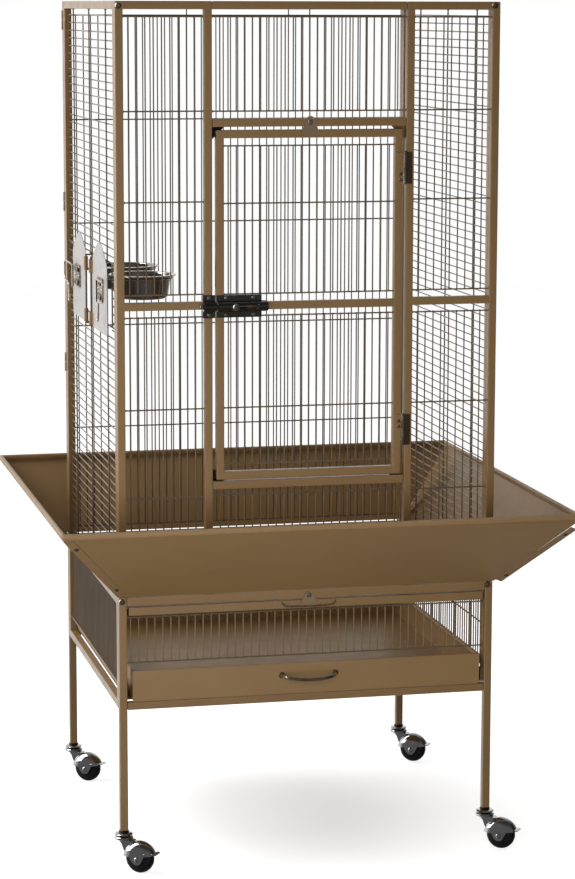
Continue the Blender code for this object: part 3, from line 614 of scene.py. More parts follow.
# The bars over the door wear the wire coat's painted shade; those under it keep the tube coat.
front_middle("over_door_grille", "front_top_panel", ((TOP - TUBE, TOP), HEADER),
             (1.1987 - BAR, TOP_END + BAR), (TOP_END, 1.1987), (1.3424, TOP - TUBE), 1.181, -1, SHADED_WIRE_COAT)
front_middle("under_door_grille", "front_sill_panel", (SILL,),
             (LOW_END - BAR, 0.6014), (0.600, LOW_END), (0.600, SILL[0]), 0.616, 1, TUBE_COAT)

# %% [markdown]
# The door is a frame of the same tube with a rail across the middle and two rows of bars.

# %% The door
door_low, door_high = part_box("door")
DOOR_X, DOOR_Z = door_high.x, (door_low.z, door_high.z)
DOOR_MID = (0.8915, 0.904)
LOWEST_WIRE, HIGHEST_WIRE = 0.649, 1.1456
DOOR_ROWS = ((LOWEST_WIRE - BAR, 0.8836), (0.915, HIGHEST_WIRE + BAR))
DOOR_WIRES = (HIGHEST_WIRE, 1.057, 0.9164, 0.8822, 0.7382, LOWEST_WIRE)


def build_door():
    parts = [tube("front", (s * (DOOR_X - TUBE), s * DOOR_X), DOOR_Z, FRONT_TUBE) for s in (-1, 1)]
    inside = (-DOOR_X + TUBE, DOOR_X - TUBE)
    across = (inside[0] - BITE, inside[1] + BITE)
    for rail in ((DOOR_Z[0], DOOR_Z[0] + TUBE), (DOOR_Z[1] - TUBE, DOOR_Z[1]), DOOR_MID):
        parts.append(tube("front", across, rail, FRONT_TUBE))
    for span in DOOR_ROWS:
        parts.append(bars("front", -0.1285, 21, span, front_bar))
    for end in ((LOWEST_WIRE, DOOR_Z[0] + TUBE), (HIGHEST_WIRE, DOOR_Z[1] - TUBE)):
        parts.append(rod((0, front_bar, end[0]), (0, front_bar, end[1]), BAR, SHADED_WIRE_COAT))
    for line in DOOR_WIRES:
        parts += cross("front", line, inside, front_cross)
    finish(parts, "main_door_grille", "main_door", ["door"])


build_door()

# %% [markdown]
# The back is one large panel of upright bars, held by six cross wires. Two of its bars are longer
# than the rest and reach up to the top rail.

# %% The back panel
BACK_WIRES = (TOP_END, 1.165, 0.9875, 0.8095, 0.631, LOW_END)


def build_back():
    middle = BACK - TUBE / 2
    outside = middle + BAR + CROSS
    parts = [tube("front", span, (FOOT, TOP), BACK_TUBE) for span in (LEFT_TUBE, RIGHT_TUBE)]
    inside = (LEFT_TUBE[1], RIGHT_TUBE[0])
    parts.append(tube("front", (inside[0] - BITE, inside[1] + BITE), (TOP - TUBE, TOP), BACK_TUBE))
    parts.append(bars("front", -22 * PITCH, 45, (LOW_END - BAR, TOP_END + BAR), middle))
    for x in (-7 * PITCH, 7 * PITCH):
        parts.append(rod((x, middle, TOP_END), (x, middle, TOP - TUBE), BAR, SHADED_WIRE_COAT))
    for line in BACK_WIRES:
        parts += cross("front", line, inside, outside)
    finish(parts, "back_grille", "cage", ["back_panel"])


build_back()

# %% [markdown]
# The two side panels have their bars lying down, for the birds to climb, and their own end tubes, so
# that each corner of the cage shows two tubes deep. The left one leaves out bars for two feeder
# openings and carries the pins on which the feeder doors turn.

# %% The side panels
SIDE_ENDS = (FRONT + TUBE + GAP, BACK - TUBE - GAP)
SIDE_CROSS = [MIDDLE + y for y in (-0.1630, 0.0045, 0.1720)]
FIRST_BAR, BAR_COUNT = 0.4567, 70
HINGE_LINE = {"front": MIDDLE - 0.046, "back": MIDDLE + 0.006}
OPENING = 0.149
HINGE_X, PIN_ENDS, PIN_R = -SIDE - 0.0040, (0.8455, 0.9570), 0.0014
OPENING_Z = (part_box("left_lower_panel")[1].z - 0.002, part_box("left_upper_panel")[0].z + 0.002)


def side_frame(w):
    """Two end tubes and a top rail."""
    a, b = SIDE_ENDS
    parts = [tube("side", ends, (FOOT, TOP), w) for ends in ((a, a + TUBE), (b - TUBE, b))]
    parts.append(tube("side", (a + TUBE - BITE, b - TUBE + BITE), (TOP - TUBE, TOP), w))
    return parts


def build_right_side():
    middle = SIDE - TUBE / 2
    outside = middle + BAR + CROSS
    inside = (SIDE_ENDS[0] + TUBE, SIDE_ENDS[1] - TUBE)
    parts = side_frame(RIGHT_TUBE)
    parts.append(bars("side", FIRST_BAR, BAR_COUNT, inside, middle, upright=False))
    for line in SIDE_CROSS:
        parts += cross("side", line, (FIRST_BAR - BAR, TOP - TUBE), outside, upright=True)
    finish(parts, "right_side_grille", "cage", ["right_panel"])


def build_left_side():
    """The left side has two openings that the feeder doors close."""
    middle = -SIDE + TUBE / 2
    outside = middle - BAR - CROSS
    inside = (SIDE_ENDS[0] + TUBE, SIDE_ENDS[1] - TUBE)
    below = int((OPENING_Z[0] - FIRST_BAR) / PITCH)
    above = int((OPENING_Z[1] - FIRST_BAR) / PITCH) + 1
    parts = side_frame(LEFT_TUBE)
    parts.append(bars("side", FIRST_BAR, below, inside, middle, upright=False))
    parts.append(bars("side", FIRST_BAR + above * PITCH, BAR_COUNT - above, inside, middle, upright=False))
    edges = [inside[0], HINGE_LINE["front"] - OPENING, HINGE_LINE["front"], HINGE_LINE["back"],
             HINGE_LINE["back"] + OPENING, inside[1]]
    level, count = FIRST_BAR + below * PITCH, above - below
    for span in zip(edges[::2], edges[1::2]):
        parts.append(bars("side", level, count, span, middle, upright=False))
    for line in edges[1:5]:
        parts.append(rod((middle, line, OPENING_Z[0]), (middle, line, OPENING_Z[1]), CROSS, SHADED_WIRE_COAT))
    for line in OPENING_Z:
        parts += cross("side", line, inside, middle)
    for line in HINGE_LINE.values():
        for z in PIN_ENDS:
            parts.append(rod((HINGE_X, line, z), (middle, line, z), PIN_R, SHADED_WIRE_COAT))
        pin = [(HINGE_X, line, PIN_ENDS[0] - PIN_R), (HINGE_X, line, PIN_ENDS[1] + PIN_R)]
        parts.append(rod(*pin, PIN_R, SHADED_WIRE_COAT))
    for line in SIDE_CROSS:
        parts += cross("side", line, (FIRST_BAR - BAR, OPENING_Z[0]), outside, upright=True)
        parts += cross("side", line, (OPENING_Z[1], TOP - TUBE), outside, upright=True)
    nodes = ["left_lower_panel", "left_upper_panel",
             *["left_" + strip + "_strip" for strip in ("front", "rear", "centre")]]
    finish(parts, "left_side_grille", "cage", nodes)


build_right_side()
build_left_side()

# %% [markdown]
# The roof is flat: a ring of tube with bars from front to back and three wires across.

# %% The roof
def build_roof():
    low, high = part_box("roof_panel")
    w = (TOP - TUBE, TOP)
    middle = TOP - TUBE / 2
    sides = ((low.x, low.x + TUBE), (high.x - TUBE, high.x))
    parts = [tube("roof", u, (low.y, high.y), w) for u in sides]
    inside = (low.x + TUBE, high.x - TUBE)
    for v in ((low.y, low.y + TUBE), (high.y - TUBE, high.y)):
        parts.append(tube("roof", (inside[0] - BITE, inside[1] + BITE), v, w))
    parts.append(bars("roof", -20 * PITCH, 41, (low.y + TUBE, high.y - TUBE), middle))
    for line in (-0.168, 0.0, 0.168):
        parts += cross("roof", MIDDLE + line, inside, middle + BAR + CROSS)
    finish(parts, "roof_grille", "cage", ["roof_panel"])


build_roof()

# %% [markdown]
# Screws and bolts repeat all over the cage, so one is modelled and copied. A profile is spun into a
# domed head, and a Boolean cuts the cross for the driver. It is made one metre in radius, facing up,
# and each copy is scaled, turned and settled into place with its own mesh.

# %% Turned shapes and the screw
TURNING = {"Z": (Vector((1, 0, 0)), Vector((0, 0, 1))),
           "Y": (Vector((1, 0, 0)), Vector((0, 1, 0))),
           "X": (Vector((0, 1, 0)), Vector((1, 0, 0)))}


def spun(profile, centre, axis, paint, steps=32):
    """Turn a closed profile of (radius, height) points about an axis through centre."""
    out, along = TURNING[axis]
    bpy.ops.object.select_all(action="DESELECT")
    bpy.ops.mesh.primitive_circle_add(vertices=len(profile), radius=0.01, fill_type="NOTHING")
    piece = bpy.context.object
    for vertex, (radius, height) in zip(piece.data.vertices, profile):
        vertex.co = Vector(centre) + out * radius + along * height
    bpy.ops.object.mode_set(mode="EDIT")
    bpy.ops.mesh.select_all(action="SELECT")
    bpy.ops.mesh.spin(steps=steps, angle=math.tau, center=centre, axis=along)
    bpy.ops.mesh.select_all(action="SELECT")
    bpy.ops.mesh.remove_doubles(threshold=0.000002)
    bpy.ops.mesh.delete_loose()
    bpy.ops.mesh.select_all(action="SELECT")
    bpy.ops.mesh.normals_make_consistent(inside=False)
    bpy.ops.object.mode_set(mode="OBJECT")
    piece.data.materials.append(paint)
    return piece


def copy_to(master, matrix):
    """A copy of a piece with its own mesh, moved by a matrix."""
    use(master)
    bpy.ops.object.duplicate(linked=False)
    piece = bpy.context.object
    piece.matrix_world = matrix
    bpy.ops.object.transform_apply(location=True, rotation=True, scale=True)
    return piece


def cut(piece, tool):
    """Take one shape out of another."""
    modify(piece, "BOOLEAN", operation="DIFFERENCE", object=tool)
    bpy.data.objects.remove(tool)


def make_screw_master():
    dome = [(math.cos(a), 0.55 * math.sin(a)) for a in [math.radians(k) for k in (0, 20, 42, 65)]]
    head = spun([(0, -0.3), (1, -0.3), *dome, (0, 0.55)], (0, 0, 0), "Z", SCREW_STEEL, 16)
    for span in ((0.52, 0.09), (0.09, 0.52)):
        cut(head, block((-span[0], span[0]), (-span[1], span[1]), (0.28, 0.8), SCREW_STEEL, 0.01, 1))
    head.name = "screw_master"
    return head


SCREW = make_screw_master()


def screw(point, facing, radius, paint=SCREW_STEEL):
    """A screw head at a point, facing outwards."""
    turn = Vector(facing).to_track_quat("Z", "Y").to_matrix().to_4x4()
    head = copy_to(SCREW, Matrix.Translation(point) @ turn @ Matrix.Scale(radius, 4))
    head.data.materials[0] = paint
    return head


print("screw master:", len(SCREW.data.polygons), "faces")

# %% [markdown]
# Round-headed bolts hold the panels to the base and to the roof, at the front and back corners. The
# post at the back left also carries six small bright plates, three pairs, which are plain blocks.

# %% Corner bolts
def build_corner_bolts():
    spots = [(-0.3000, 0.4365), (0.2960, 0.4380), (-0.2993, 1.3587), (0.2960, 1.3600)]
    parts = [screw((x, FRONT, z), (0, -1, 0), 0.0052) for x, z in spots]
    parts += [screw((x, BACK, z), (0, 1, 0), 0.0052) for x, z in spots]
    x, y = (-SIDE - 0.0022, -SIDE - 0.0004), (BACK - 0.0095, BACK - 0.0035)
    for z in (0.7315, 0.7480, 1.0096, 1.0260, 1.3180, 1.3345):
        parts.append(block(x, y, (z, z + 0.0160), WARM_CHROME, 0.0007))
    piece = joined(parts)
    piece.name = piece.data.name = "corner_bolts"
    bpy.ops.object.shade_smooth_by_angle(angle=math.radians(40))
    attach(piece, "cage")
    print("corner bolts:", len(spots) * 2)


build_corner_bolts()

# %% [markdown]
# Two butt hinges carry the door. The leaf on the jamb is dark, the one on the door tube was coated
# with the door and shows only its two small screws, and between them the bare knuckles share a pin.
# The knuckles are short tubes, so they are spun from a profile with a bore.

# %% Hinges
pin_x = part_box("lower_hinge_jamb_leaf")[0].x + 0.0026
pin_y = FRONT - 0.0035
LEAF_Y = (FRONT - GAP - 0.0014, FRONT - GAP)


def knuckle(low, high):
    """A short tube round the pin, its outer edges eased."""
    profile = [(0.0013, low), (0.0025, low), (0.0029, low + 0.0004),
               (0.0029, high - 0.0004), (0.0025, high), (0.0013, high)]
    return spun(profile, (pin_x, pin_y, 0), "Z", SCREW_STEEL, 20)


def build_hinge(name, screw_z):
    low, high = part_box(name + "_hinge_jamb_leaf")
    half = (low.z + high.z) / 2
    leaf_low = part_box(name + "_hinge_door_leaf")[0]
    jamb_curl, door_curl = (pin_x + 0.0006, pin_x + 0.0040), (pin_x - 0.0040, pin_x - 0.0006)
    pin_cap = [(0, 0.0006), (0.0024, 0.0006), (0.0026, 0.0013), (0.0016, 0.0022), (0, 0.0024)]
    jamb = [block((pin_x + 0.0031, high.x - 0.0012), LEAF_Y, (low.z, high.z), BRONZE, 0.0005),
            knuckle(low.z, half - 0.0002),
            block(jamb_curl, LEAF_Y, (low.z + 0.0005, half - 0.001), BRONZE, 0.0003),
            rod((pin_x, pin_y, low.z - 0.0008), (pin_x, pin_y, high.z + 0.0010), 0.0012, SCREW_STEEL, 12),
            spun(pin_cap, (pin_x, pin_y, high.z), "Z", SCREW_STEEL, 16)]
    door = [block((leaf_low.x, pin_x - 0.0031), LEAF_Y, (low.z, high.z), TUBE_COAT, 0.0005),
            knuckle(half + 0.0002, high.z),
            block(door_curl, LEAF_Y, (half + 0.001, high.z - 0.0005), TUBE_COAT, 0.0003)]
    for z in screw_z:
        door.append(screw((0.1452, LEAF_Y[0] + 0.0003, z), (0, -1, 0), 0.0030))
    for z in (half - 0.014, half + 0.014):
        jamb.append(screw((0.1605, LEAF_Y[0] + 0.0006, z), (0, -1, 0), 0.0016))
    finish(jamb, name + "_hinge_on_jamb", "cage", [name + "_hinge_jamb_leaf"])
    finish(door, name + "_hinge_on_door", "main_door", [name + "_hinge_door_leaf"])


build_hinge("lower", (0.7096, 0.7008))
build_hinge("upper", (1.1000, 1.0906))

# %% [markdown]
# The door closes with a barrel bolt of smoky chrome. A sheet is pressed into a barrel with a flat
# flange above and below, a round rod with a knob slides in it, and a second, shorter strap on the
# jamb catches the rod. The pressed strap is one plate whose outline humps over the rod, pulled
# along it, so the same helper makes the barrel and the keeper.

# %% The barrel bolt
rod_low, rod_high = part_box("bolt_rod")
BOLT_Z = (rod_low.z + rod_high.z) / 2
BOLT_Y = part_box("bolt_rod")[1].y - 0.0030
FACE = FRONT - GAP


def pressed_strap(x, half_height, hump, sheet=0.0011):
    """A strip pressed over a rod: flat, up and over in a half round, flat again."""
    front, back = [], []
    for k in range(9):
        a = math.pi * k / 8
        front.append((x[0], BOLT_Y - (hump + sheet) * math.sin(a), BOLT_Z + (hump + sheet) * math.cos(a)))
        back.append((x[0], BOLT_Y - hump * math.sin(a), BOLT_Z + hump * math.cos(a)))
    flat = FACE - sheet
    foot = hump + sheet + 0.0008
    outline = [(x[0], flat, BOLT_Z + half_height), (x[0], flat, BOLT_Z + foot), *front,
               (x[0], flat, BOLT_Z - foot), (x[0], flat, BOLT_Z - half_height),
               (x[0], FACE, BOLT_Z - half_height), (x[0], FACE, BOLT_Z - hump), *back[::-1],
               (x[0], FACE, BOLT_Z + hump), (x[0], FACE, BOLT_Z + half_height)]
    return plate(outline, (x[1] - x[0], 0, 0), SMOKY_CHROME, 0.0003)


def strap_screw(x, z):
    """A bright screw in the flange of a strap, z above or below the rod."""
    return screw((x, FACE - 0.0010, BOLT_Z + z), (0, -1, 0), 0.0034, WHITE_ZINC)


def build_bolt():
    low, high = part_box("bolt_housing")
    knob_x = -0.122
    barrel = pressed_strap((low.x, high.x - 0.0050), 0.0175, 0.0064)
    slot = block((knob_x - 0.0026, knob_x + 0.0320), (BOLT_Y - 0.012, BOLT_Y - 0.003),
                 (BOLT_Z - 0.0022, BOLT_Z + 0.0022), SMOKY_CHROME, 0.0012, 2)
    cut(barrel, slot)
    parts = [barrel, pressed_strap((high.x - 0.0058, high.x + 0.0032), 0.0086, 0.0064)]
    for x in (-0.1335, -0.0900):
        for z in (-0.0128, 0.0128):
            parts.append(strap_screw(x, z))
    for x, z in ((-0.0835, 0.0030), (-0.0855, -0.0028)):
        parts.append(screw((x, BOLT_Y - 0.0068, BOLT_Z + z), (0, -1, 0), 0.0014))
    finish(parts, "bolt_barrel", "main_door", ["bolt_housing"])
    knob = [(0, -0.0190), (0.0030, -0.0186), (0.0052, -0.0165), (0.0058, -0.0142), (0.0050, -0.0116),
            (0.0026, -0.0098), (0.0019, -0.0080), (0.0019, 0), (0, 0)]
    tip = [(0, 0), (0.0020, 0.0003), (0.0030, 0.0016), (0.0030, 0.0740), (0.0024, 0.0746), (0, 0.0748)]
    shaft = [spun(tip, (rod_low.x, BOLT_Y, BOLT_Z), "X", CHROME, 24),
             spun(knob, (knob_x, BOLT_Y, BOLT_Z), "Y", CHROME, 24)]
    finish(shaft, "bolt_slide_rod", "door_bolt", ["bolt_rod"])
    strap = [pressed_strap((-0.1703, -0.1507), 0.0180, 0.0066)]
    strap += [strap_screw(-0.1600, z) for z in (-0.0130, 0.0130)]
    finish(strap, "bolt_strap_on_jamb", "cage", ["bolt_keeper"])


build_bolt()

# %% [markdown]
# Above the door and above the grate a small bronze-coated plate hangs from one screw, wide end
# down, and laps over the part below it until it is swung aside. Its rim is pressed forward, which
# we get by insetting the front face and pushing the middle back a little.

# %% The swinging latches
def build_swing_latch(name, node, body, apex, foot, half_foot, pivot):
    y = FRONT - GAP
    half = [(half_foot, foot), (half_foot * 0.93, foot + 0.0045), (0.0062, apex - 0.0050),
            (0.0038, apex - 0.0012)]
    outline = [(-half_foot, y, foot), *[(x, y, z) for x, z in half], (0, y, apex),
               *[(-x, y, z) for x, z in half[:0:-1]]]
    hanging = plate(outline, (0, -0.0016, 0), LATCH_COAT, 0.0)
    edit_faces(hanging, lambda face: face.normal.y < -0.9)
    bpy.ops.mesh.inset(thickness=0.0012, depth=-0.0005)
    leave_edit()
    head = screw((0, y - 0.0012, pivot), (0, -1, 0), 0.0044, WHITE_ZINC)
    finish([hanging, head], name, body, [node])


build_swing_latch("latch_over_door", "door_latch", "top_latch",
                  apex=1.1912, foot=1.1605, half_foot=0.0157, pivot=1.1810)
build_swing_latch("latch_over_grate", "grate_latch", "lower_latch",
                  apex=0.4415, foot=0.4185, half_foot=0.0150, pivot=0.4350)

# %% [markdown]
# The base stands on four legs of the same tube. Each leg ends in a dark plug that holds the caster's
# stem, with the top half of the swivel bearing under it. The bearing is spun from its profile.

# %% Legs
def build_leg(name, node):
    low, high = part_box(node)
    x, y = low.x + (high.x - low.x) / 2, low.y + (high.y - low.y) / 2
    half = TUBE / 2
    parts = [block((x - half, x + half), (y - half, y + half), (0.0655, high.z), TUBE_COAT)]
    plug = [(0, 0.0622), (0.0072, 0.0622), (0.0082, 0.0632), (0.0082, 0.0648), (0.0070, 0.0664), (0, 0.0664)]
    parts.append(spun(plug, (x, y, 0), "Z", RUBBER, 28))
    race = [(0, 0.0582), (0.0118, 0.0582), (0.0142, 0.0590), (0.0146, 0.0604), (0.0132, 0.0618),
            (0.0090, 0.0624), (0, 0.0624)]
    parts.append(spun(race, (x, y, 0), "Z", CHROME, 32))
    parts.append(rod((x, y, low.z), (x, y, 0.0585), 0.0030, CHROME, 16))
    finish(parts, name, "cage", [node])


for leg in ("front_left", "front_right", "back_left", "back_right"):
    build_leg(leg + "_corner_leg", leg + "_leg")

# %% [markdown]
# Rails tie the legs together, and grilles close the base's sides and back. In front a short fence of
# bars hangs between the slide-out grate and the tray.

# %% Base rails, fence and grilles
def build_base_front():
    for name, node in (("base_upper_rail", "base_front_rail"), ("base_bottom_rail", "base_low_rail")):
        low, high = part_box(node)
        rail = tube("front", (low.x, high.x), (low.z, high.z), FRONT_TUBE)
        finish([rail], name, "cage", [node])
    low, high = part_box("base_front_fence")
    lines = (high.z - CROSS, low.z + CROSS)
    span, depth = (lines[1] - BAR, lines[0] + BAR), FRONT + 0.0080
    parts = [bars("front", -0.2854, 45, span, depth, pitch=0.01292, paint=TUBE_COAT)]
    for line in lines:
        parts += cross("front", line, (low.x, high.x), depth - BAR - CROSS)
    finish(parts, "tray_front_fence", "cage", ["base_front_fence"])


LOW_WIRE, HIGH_WIRE = 0.298, 0.365


def build_base_grille(name, node, place, first, count, wire, out, lines=(LOW_WIRE, HIGH_WIRE)):
    """Rail, bars down to a low wire, and a bottom rail between two end tubes."""
    low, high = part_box(node)
    u = (low.x, high.x) if place == "front" else (low.y, high.y)
    w = (low.y, high.y) if place == "front" else (low.x, high.x)
    parts = [tube(place, ends, (low.z, high.z), w) for ends in ((u[0], u[0] + TUBE), (u[1] - TUBE, u[1]))]
    inside = (u[0] + TUBE, u[1] - TUBE)
    across = (inside[0] - BITE, inside[1] + BITE)
    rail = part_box("base_front_rail")
    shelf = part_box("base_low_rail")
    parts += [tube(place, across, rails, w) for rails in ((rail[0].z, rail[1].z), (shelf[0].z, shelf[1].z))]
    parts.append(bars(place, first, count, (LOW_WIRE - BAR, rail[0].z), wire))
    for line in lines:
        parts += cross(place, line, inside, wire + out * (BAR + CROSS))
    finish(parts, name, "cage", [node])


build_base_front()
side_bars = MIDDLE - 18 * PITCH
build_base_grille("base_back_grille", "base_back_panel", "front", -21 * PITCH, 43, BACK - TUBE / 2, 1)
build_base_grille("base_left_grille", "base_left_panel", "side", side_bars, 37, -SIDE + TUBE / 2, -1,
                  (LOW_WIRE,))
build_base_grille("base_right_grille", "base_right_panel", "side", side_bars, 37, SIDE - TUBE / 2, 1)

# %% [markdown]
# The tray and the grate slide on folded ledges. An angle is two thin blocks that meet in a corner.

# %% Runners
def build_runner(node, side, lip):
    low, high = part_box(node)
    wall = (high.x - 0.0014, high.x) if side > 0 else (low.x, low.x + 0.0014)
    y = (low.y, high.y)
    parts = [block((low.x, high.x), y, (high.z - 0.0014, high.z), SHEET_COAT, 0.0004),
             block(wall, y, (high.z - 0.0014, high.z + lip), SHEET_COAT, 0.0004)]
    finish(parts, node + "_angle", "cage", [node])


for side, end in ((-1, "left"), (1, "right")):
    build_runner("tray_runner_" + end, side, 0.020)
    build_runner("grate_runner_" + end, side, 0.008)

# %% [markdown]
# Pulls and catches are bent from wire. A smooth curve near the bend points, as thick as the wire and
# turned into a mesh, gives bends as round as a bender makes them.

# %% Bent wire
def bent(points, radius, paint, smoothness=6):
    """Round wire that follows a smooth curve near the points, ending on the first and last."""
    curve = bpy.data.curves.new("bent_wire", "CURVE")
    curve.dimensions = "3D"
    curve.bevel_depth = radius
    curve.bevel_resolution = 3
    curve.use_fill_caps = True
    spline = curve.splines.new("NURBS")
    spline.points.add(len(points) - 1)
    for spot, point in zip(spline.points, points):
        spot.co = (*point, 1)
    spline.order_u = 3
    spline.use_endpoint_u = True
    spline.resolution_u = smoothness
    wire = bpy.data.objects.new("bent_wire", curve)
    bpy.context.scene.collection.objects.link(wire)
    use(wire)
    bpy.ops.object.convert(target="MESH")
    wire = bpy.context.object
    bpy.ops.object.mode_set(mode="EDIT")
    bpy.ops.mesh.select_all(action="SELECT")
    bpy.ops.mesh.remove_doubles(threshold=0.00001)
    bpy.ops.mesh.normals_make_consistent(inside=False)
    bpy.ops.object.mode_set(mode="OBJECT")
    wire.data.materials.clear()
    wire.data.materials.append(paint)
    return wire


# %% [markdown]
# The grate slides out like a drawer under the birds' feet. Its front is a bar with rounded edges and
# a thin wire pull that stands off it under the latch; the rest is wire in a thin frame.

# %% The sliding grate
def build_grate():
    low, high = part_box("grate")
    z = low.z + 0.0042
    left, right, rear = low.x + 0.003, high.x - 0.003, high.y - 0.003
    parts = [block((low.x, high.x), (low.y, low.y + TUBE), (low.z, high.z), TUBE_COAT)]
    for x in (left, right):
        parts.append(rod((x, low.y + 0.006, z), (x, rear, z), 0.0025, SHADED_WIRE_COAT, 12))
    parts.append(rod((left, rear, z), (right, rear, z), 0.0025, SHADED_WIRE_COAT, 12))
    for y in (-0.14, 0.0, 0.14):
        parts += cross("roof", MIDDLE + y, (left, right), z - 0.0015)
    parts.append(bars("roof", -21 * PITCH, 43, (low.y + 0.010, rear), z + 0.0015))
    half_bow = [(0.0440, 0.0005, 0.4245), (0.0432, -0.0030, 0.4235), (0.0400, -0.0042, 0.4190),
                (0.0330, -0.0042, 0.4172)]
    bow = [(-x, low.y + y, z) for x, y, z in half_bow] + [(x, low.y + y, z) for x, y, z in half_bow[::-1]]
    parts.append(bent(bow, 0.0010, SCREW_STEEL))
    finish(parts, "slide_out_grate", "sliding_grate", ["grate"])


build_grate()

# %% [markdown]
# The tray is folded sheet with its top edge rolled over a wire. We start from a cube, delete its top
# in edit mode, and thicken the open shell inwards; four thin rolls and rounded corners finish the rim.
# A short skirt in front closes the slot over the bottom rail.

# %% The tray
def build_tray():
    low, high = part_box("tray")
    roll = 0.0032
    middle, size = (low + high) / 2, high - low
    bpy.ops.object.select_all(action="DESELECT")
    bpy.ops.mesh.primitive_cube_add(size=1, location=middle, scale=size)
    bpy.ops.object.transform_apply(location=True, rotation=True, scale=True)
    pan = bpy.context.object
    edit_faces(pan, lambda face: face.normal.z > 0.9)
    bpy.ops.mesh.delete(type="FACE")
    leave_edit()
    modify(pan, "SOLIDIFY", thickness=0.0012, offset=-1)
    modify(pan, "BEVEL", width=0.0008, segments=2)
    pan.data.materials.append(SHEET_COAT)
    x0, x1, y0, y1, z = low.x + roll, high.x - roll, low.y + roll, high.y - roll, high.z - roll
    skirt_z = (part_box("base_low_rail")[1].z + 0.0005, low.z + 0.001)
    skirt_y = (low.y + 0.0003, low.y + 0.0015)
    parts = [pan, block((low.x + 0.001, high.x - 0.001), skirt_y, skirt_z, SHEET_COAT, 0.0003, 2)]
    corners = [(x0, y0), (x1, y0), (x1, y1), (x0, y1)]
    for start, end in zip(corners, corners[1:] + corners[:1]):
        parts.append(rod((*start, z), (*end, z), roll, SHEET_COAT, 16))
        parts.append(bead((*start, z), SHEET_COAT, (roll, roll, roll)))
    finish(parts, "slide_out_tray", "sliding_tray", ["tray"])


build_tray()

# %% [markdown]
# The tray's pull is a bright round bar bent into a bow. A smooth curve through a few points, thick
# as the bar and turned into a mesh, gives the bend; round feet cover its ends.

# %% The tray's pull
def build_pull():
    low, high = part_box("tray_handle")
    half, z, out, face = 0.0437, (low.z + high.z) / 2, low.y + 0.0024, FRONT - GAP
    left = [(-half, face, z), (-half, face - 0.006, z), (-half * 0.86, out + 0.0100, z - 0.0006),
            (-half * 0.5, out + 0.0022, z - 0.0022)]
    points = [*left, (0, out - 0.0002, z - 0.0030), *[(-x, y, up) for x, y, up in left[::-1]]]
    parts = [bent(points, 0.0028, WARM_CHROME, 10)]
    foot = [(0, -0.0022), (0.0036, -0.0022), (0.0052, -0.0008), (0.0054, 0), (0, 0)]
    parts += [spun(foot, (x, face, z), "Y", WARM_CHROME, 24) for x in (-half, half)]
    finish(parts, "tray_bow_pull", "sliding_tray", ["tray_handle"])


build_pull()

# %% [markdown]
# Four flared sheets catch the seed that birds throw. Each is folded sheet steel: a slope that widens
# towards the mitred corners, and a short upright lip. A plane is pulled into the slope, extruded
# once for the lip, and thickened, as a sheet is folded on a brake.

# %% Folded sheet
def folded_sheet(rows, thick, paint):
    """A plane between the first two rows of points, extruded to each further row."""
    bpy.ops.object.select_all(action="DESELECT")
    bpy.ops.mesh.primitive_plane_add(size=1)
    sheet = bpy.context.object
    for vertex, point in zip(sheet.data.vertices, (*rows[0], *rows[1])):
        vertex.co = point
    edge = [2, 3]
    for left, right in rows[2:]:
        for item in (*sheet.data.vertices, *sheet.data.edges, *sheet.data.polygons):
            item.select = False
        for line in sheet.data.edges:
            line.select = set(line.vertices) == set(edge)
        for index in edge:
            sheet.data.vertices[index].select = True
        old_left = sheet.data.vertices[edge[0]].co.copy()
        count = len(sheet.data.vertices)
        bpy.ops.object.mode_set(mode="EDIT")
        bpy.ops.mesh.extrude_region_move()
        bpy.ops.object.mode_set(mode="OBJECT")
        edge = sorted((count, count + 1), key=lambda i: (sheet.data.vertices[i].co - old_left).length)
        sheet.data.vertices[edge[0]].co = left
        sheet.data.vertices[edge[1]].co = right
    modify(sheet, "SOLIDIFY", thickness=thick, offset=0)
    sheet.data.materials.append(paint)
    return sheet


# %% [markdown]
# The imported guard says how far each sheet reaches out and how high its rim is. A point on a mitred
# corner is then given by its share of the way out and its height.

# %% Where the guard's corners are
guard_low, guard_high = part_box("seed_guard_left")[0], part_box("seed_guard_right")[1]
RIM_Z = guard_high.z
REACH = {"front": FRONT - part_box("seed_guard_front")[0].y,
         "back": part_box("seed_guard_back")[1].y - BACK,
         "left": -SIDE - guard_low.x,
         "right": guard_high.x - SIDE}
SHEET = 0.0012


def guard_corner(side, end, share, up):
    """Where the corner between two sheets is, at a share of the way out and a height."""
    x = side * (SIDE + share * REACH["right"])
    y = FRONT - share * REACH["front"] if end == "front" else BACK + share * REACH["back"]
    return Vector((x, y, up))


def slope_height(share):
    return BASE_TOP + 0.0014 + (RIM_Z - 0.009 - BASE_TOP) * share


CORNERS = {"front": ((-1, "front"), (1, "front")), "back": ((1, "back"), (-1, "back")),
           "left": ((-1, "back"), (-1, "front")), "right": ((1, "front"), (1, "back"))}


# %% [markdown]
# Each sheet gets a rolled hem along its top edge, which is a block with well-rounded edges. The
# front and back sheets also carry flanges near their corners, with two bolts through each into the
# side sheets.

# %% The seed guard
def guard_sheet(name):
    """The slope from the foot to the lip, and the lip."""
    first, last = CORNERS[name]
    rows = []
    for share, height in ((0.012, slope_height(0)), (0.955, slope_height(0.955)), (0.972, RIM_Z - 0.0045)):
        rows.append((guard_corner(*first, share, height), guard_corner(*last, share, height)))
    along = (rows[0][1] - rows[0][0]).normalized() * 0.0008
    rows = [(left + along, right - along) for left, right in rows]
    return folded_sheet(rows, SHEET, SHEET_COAT)


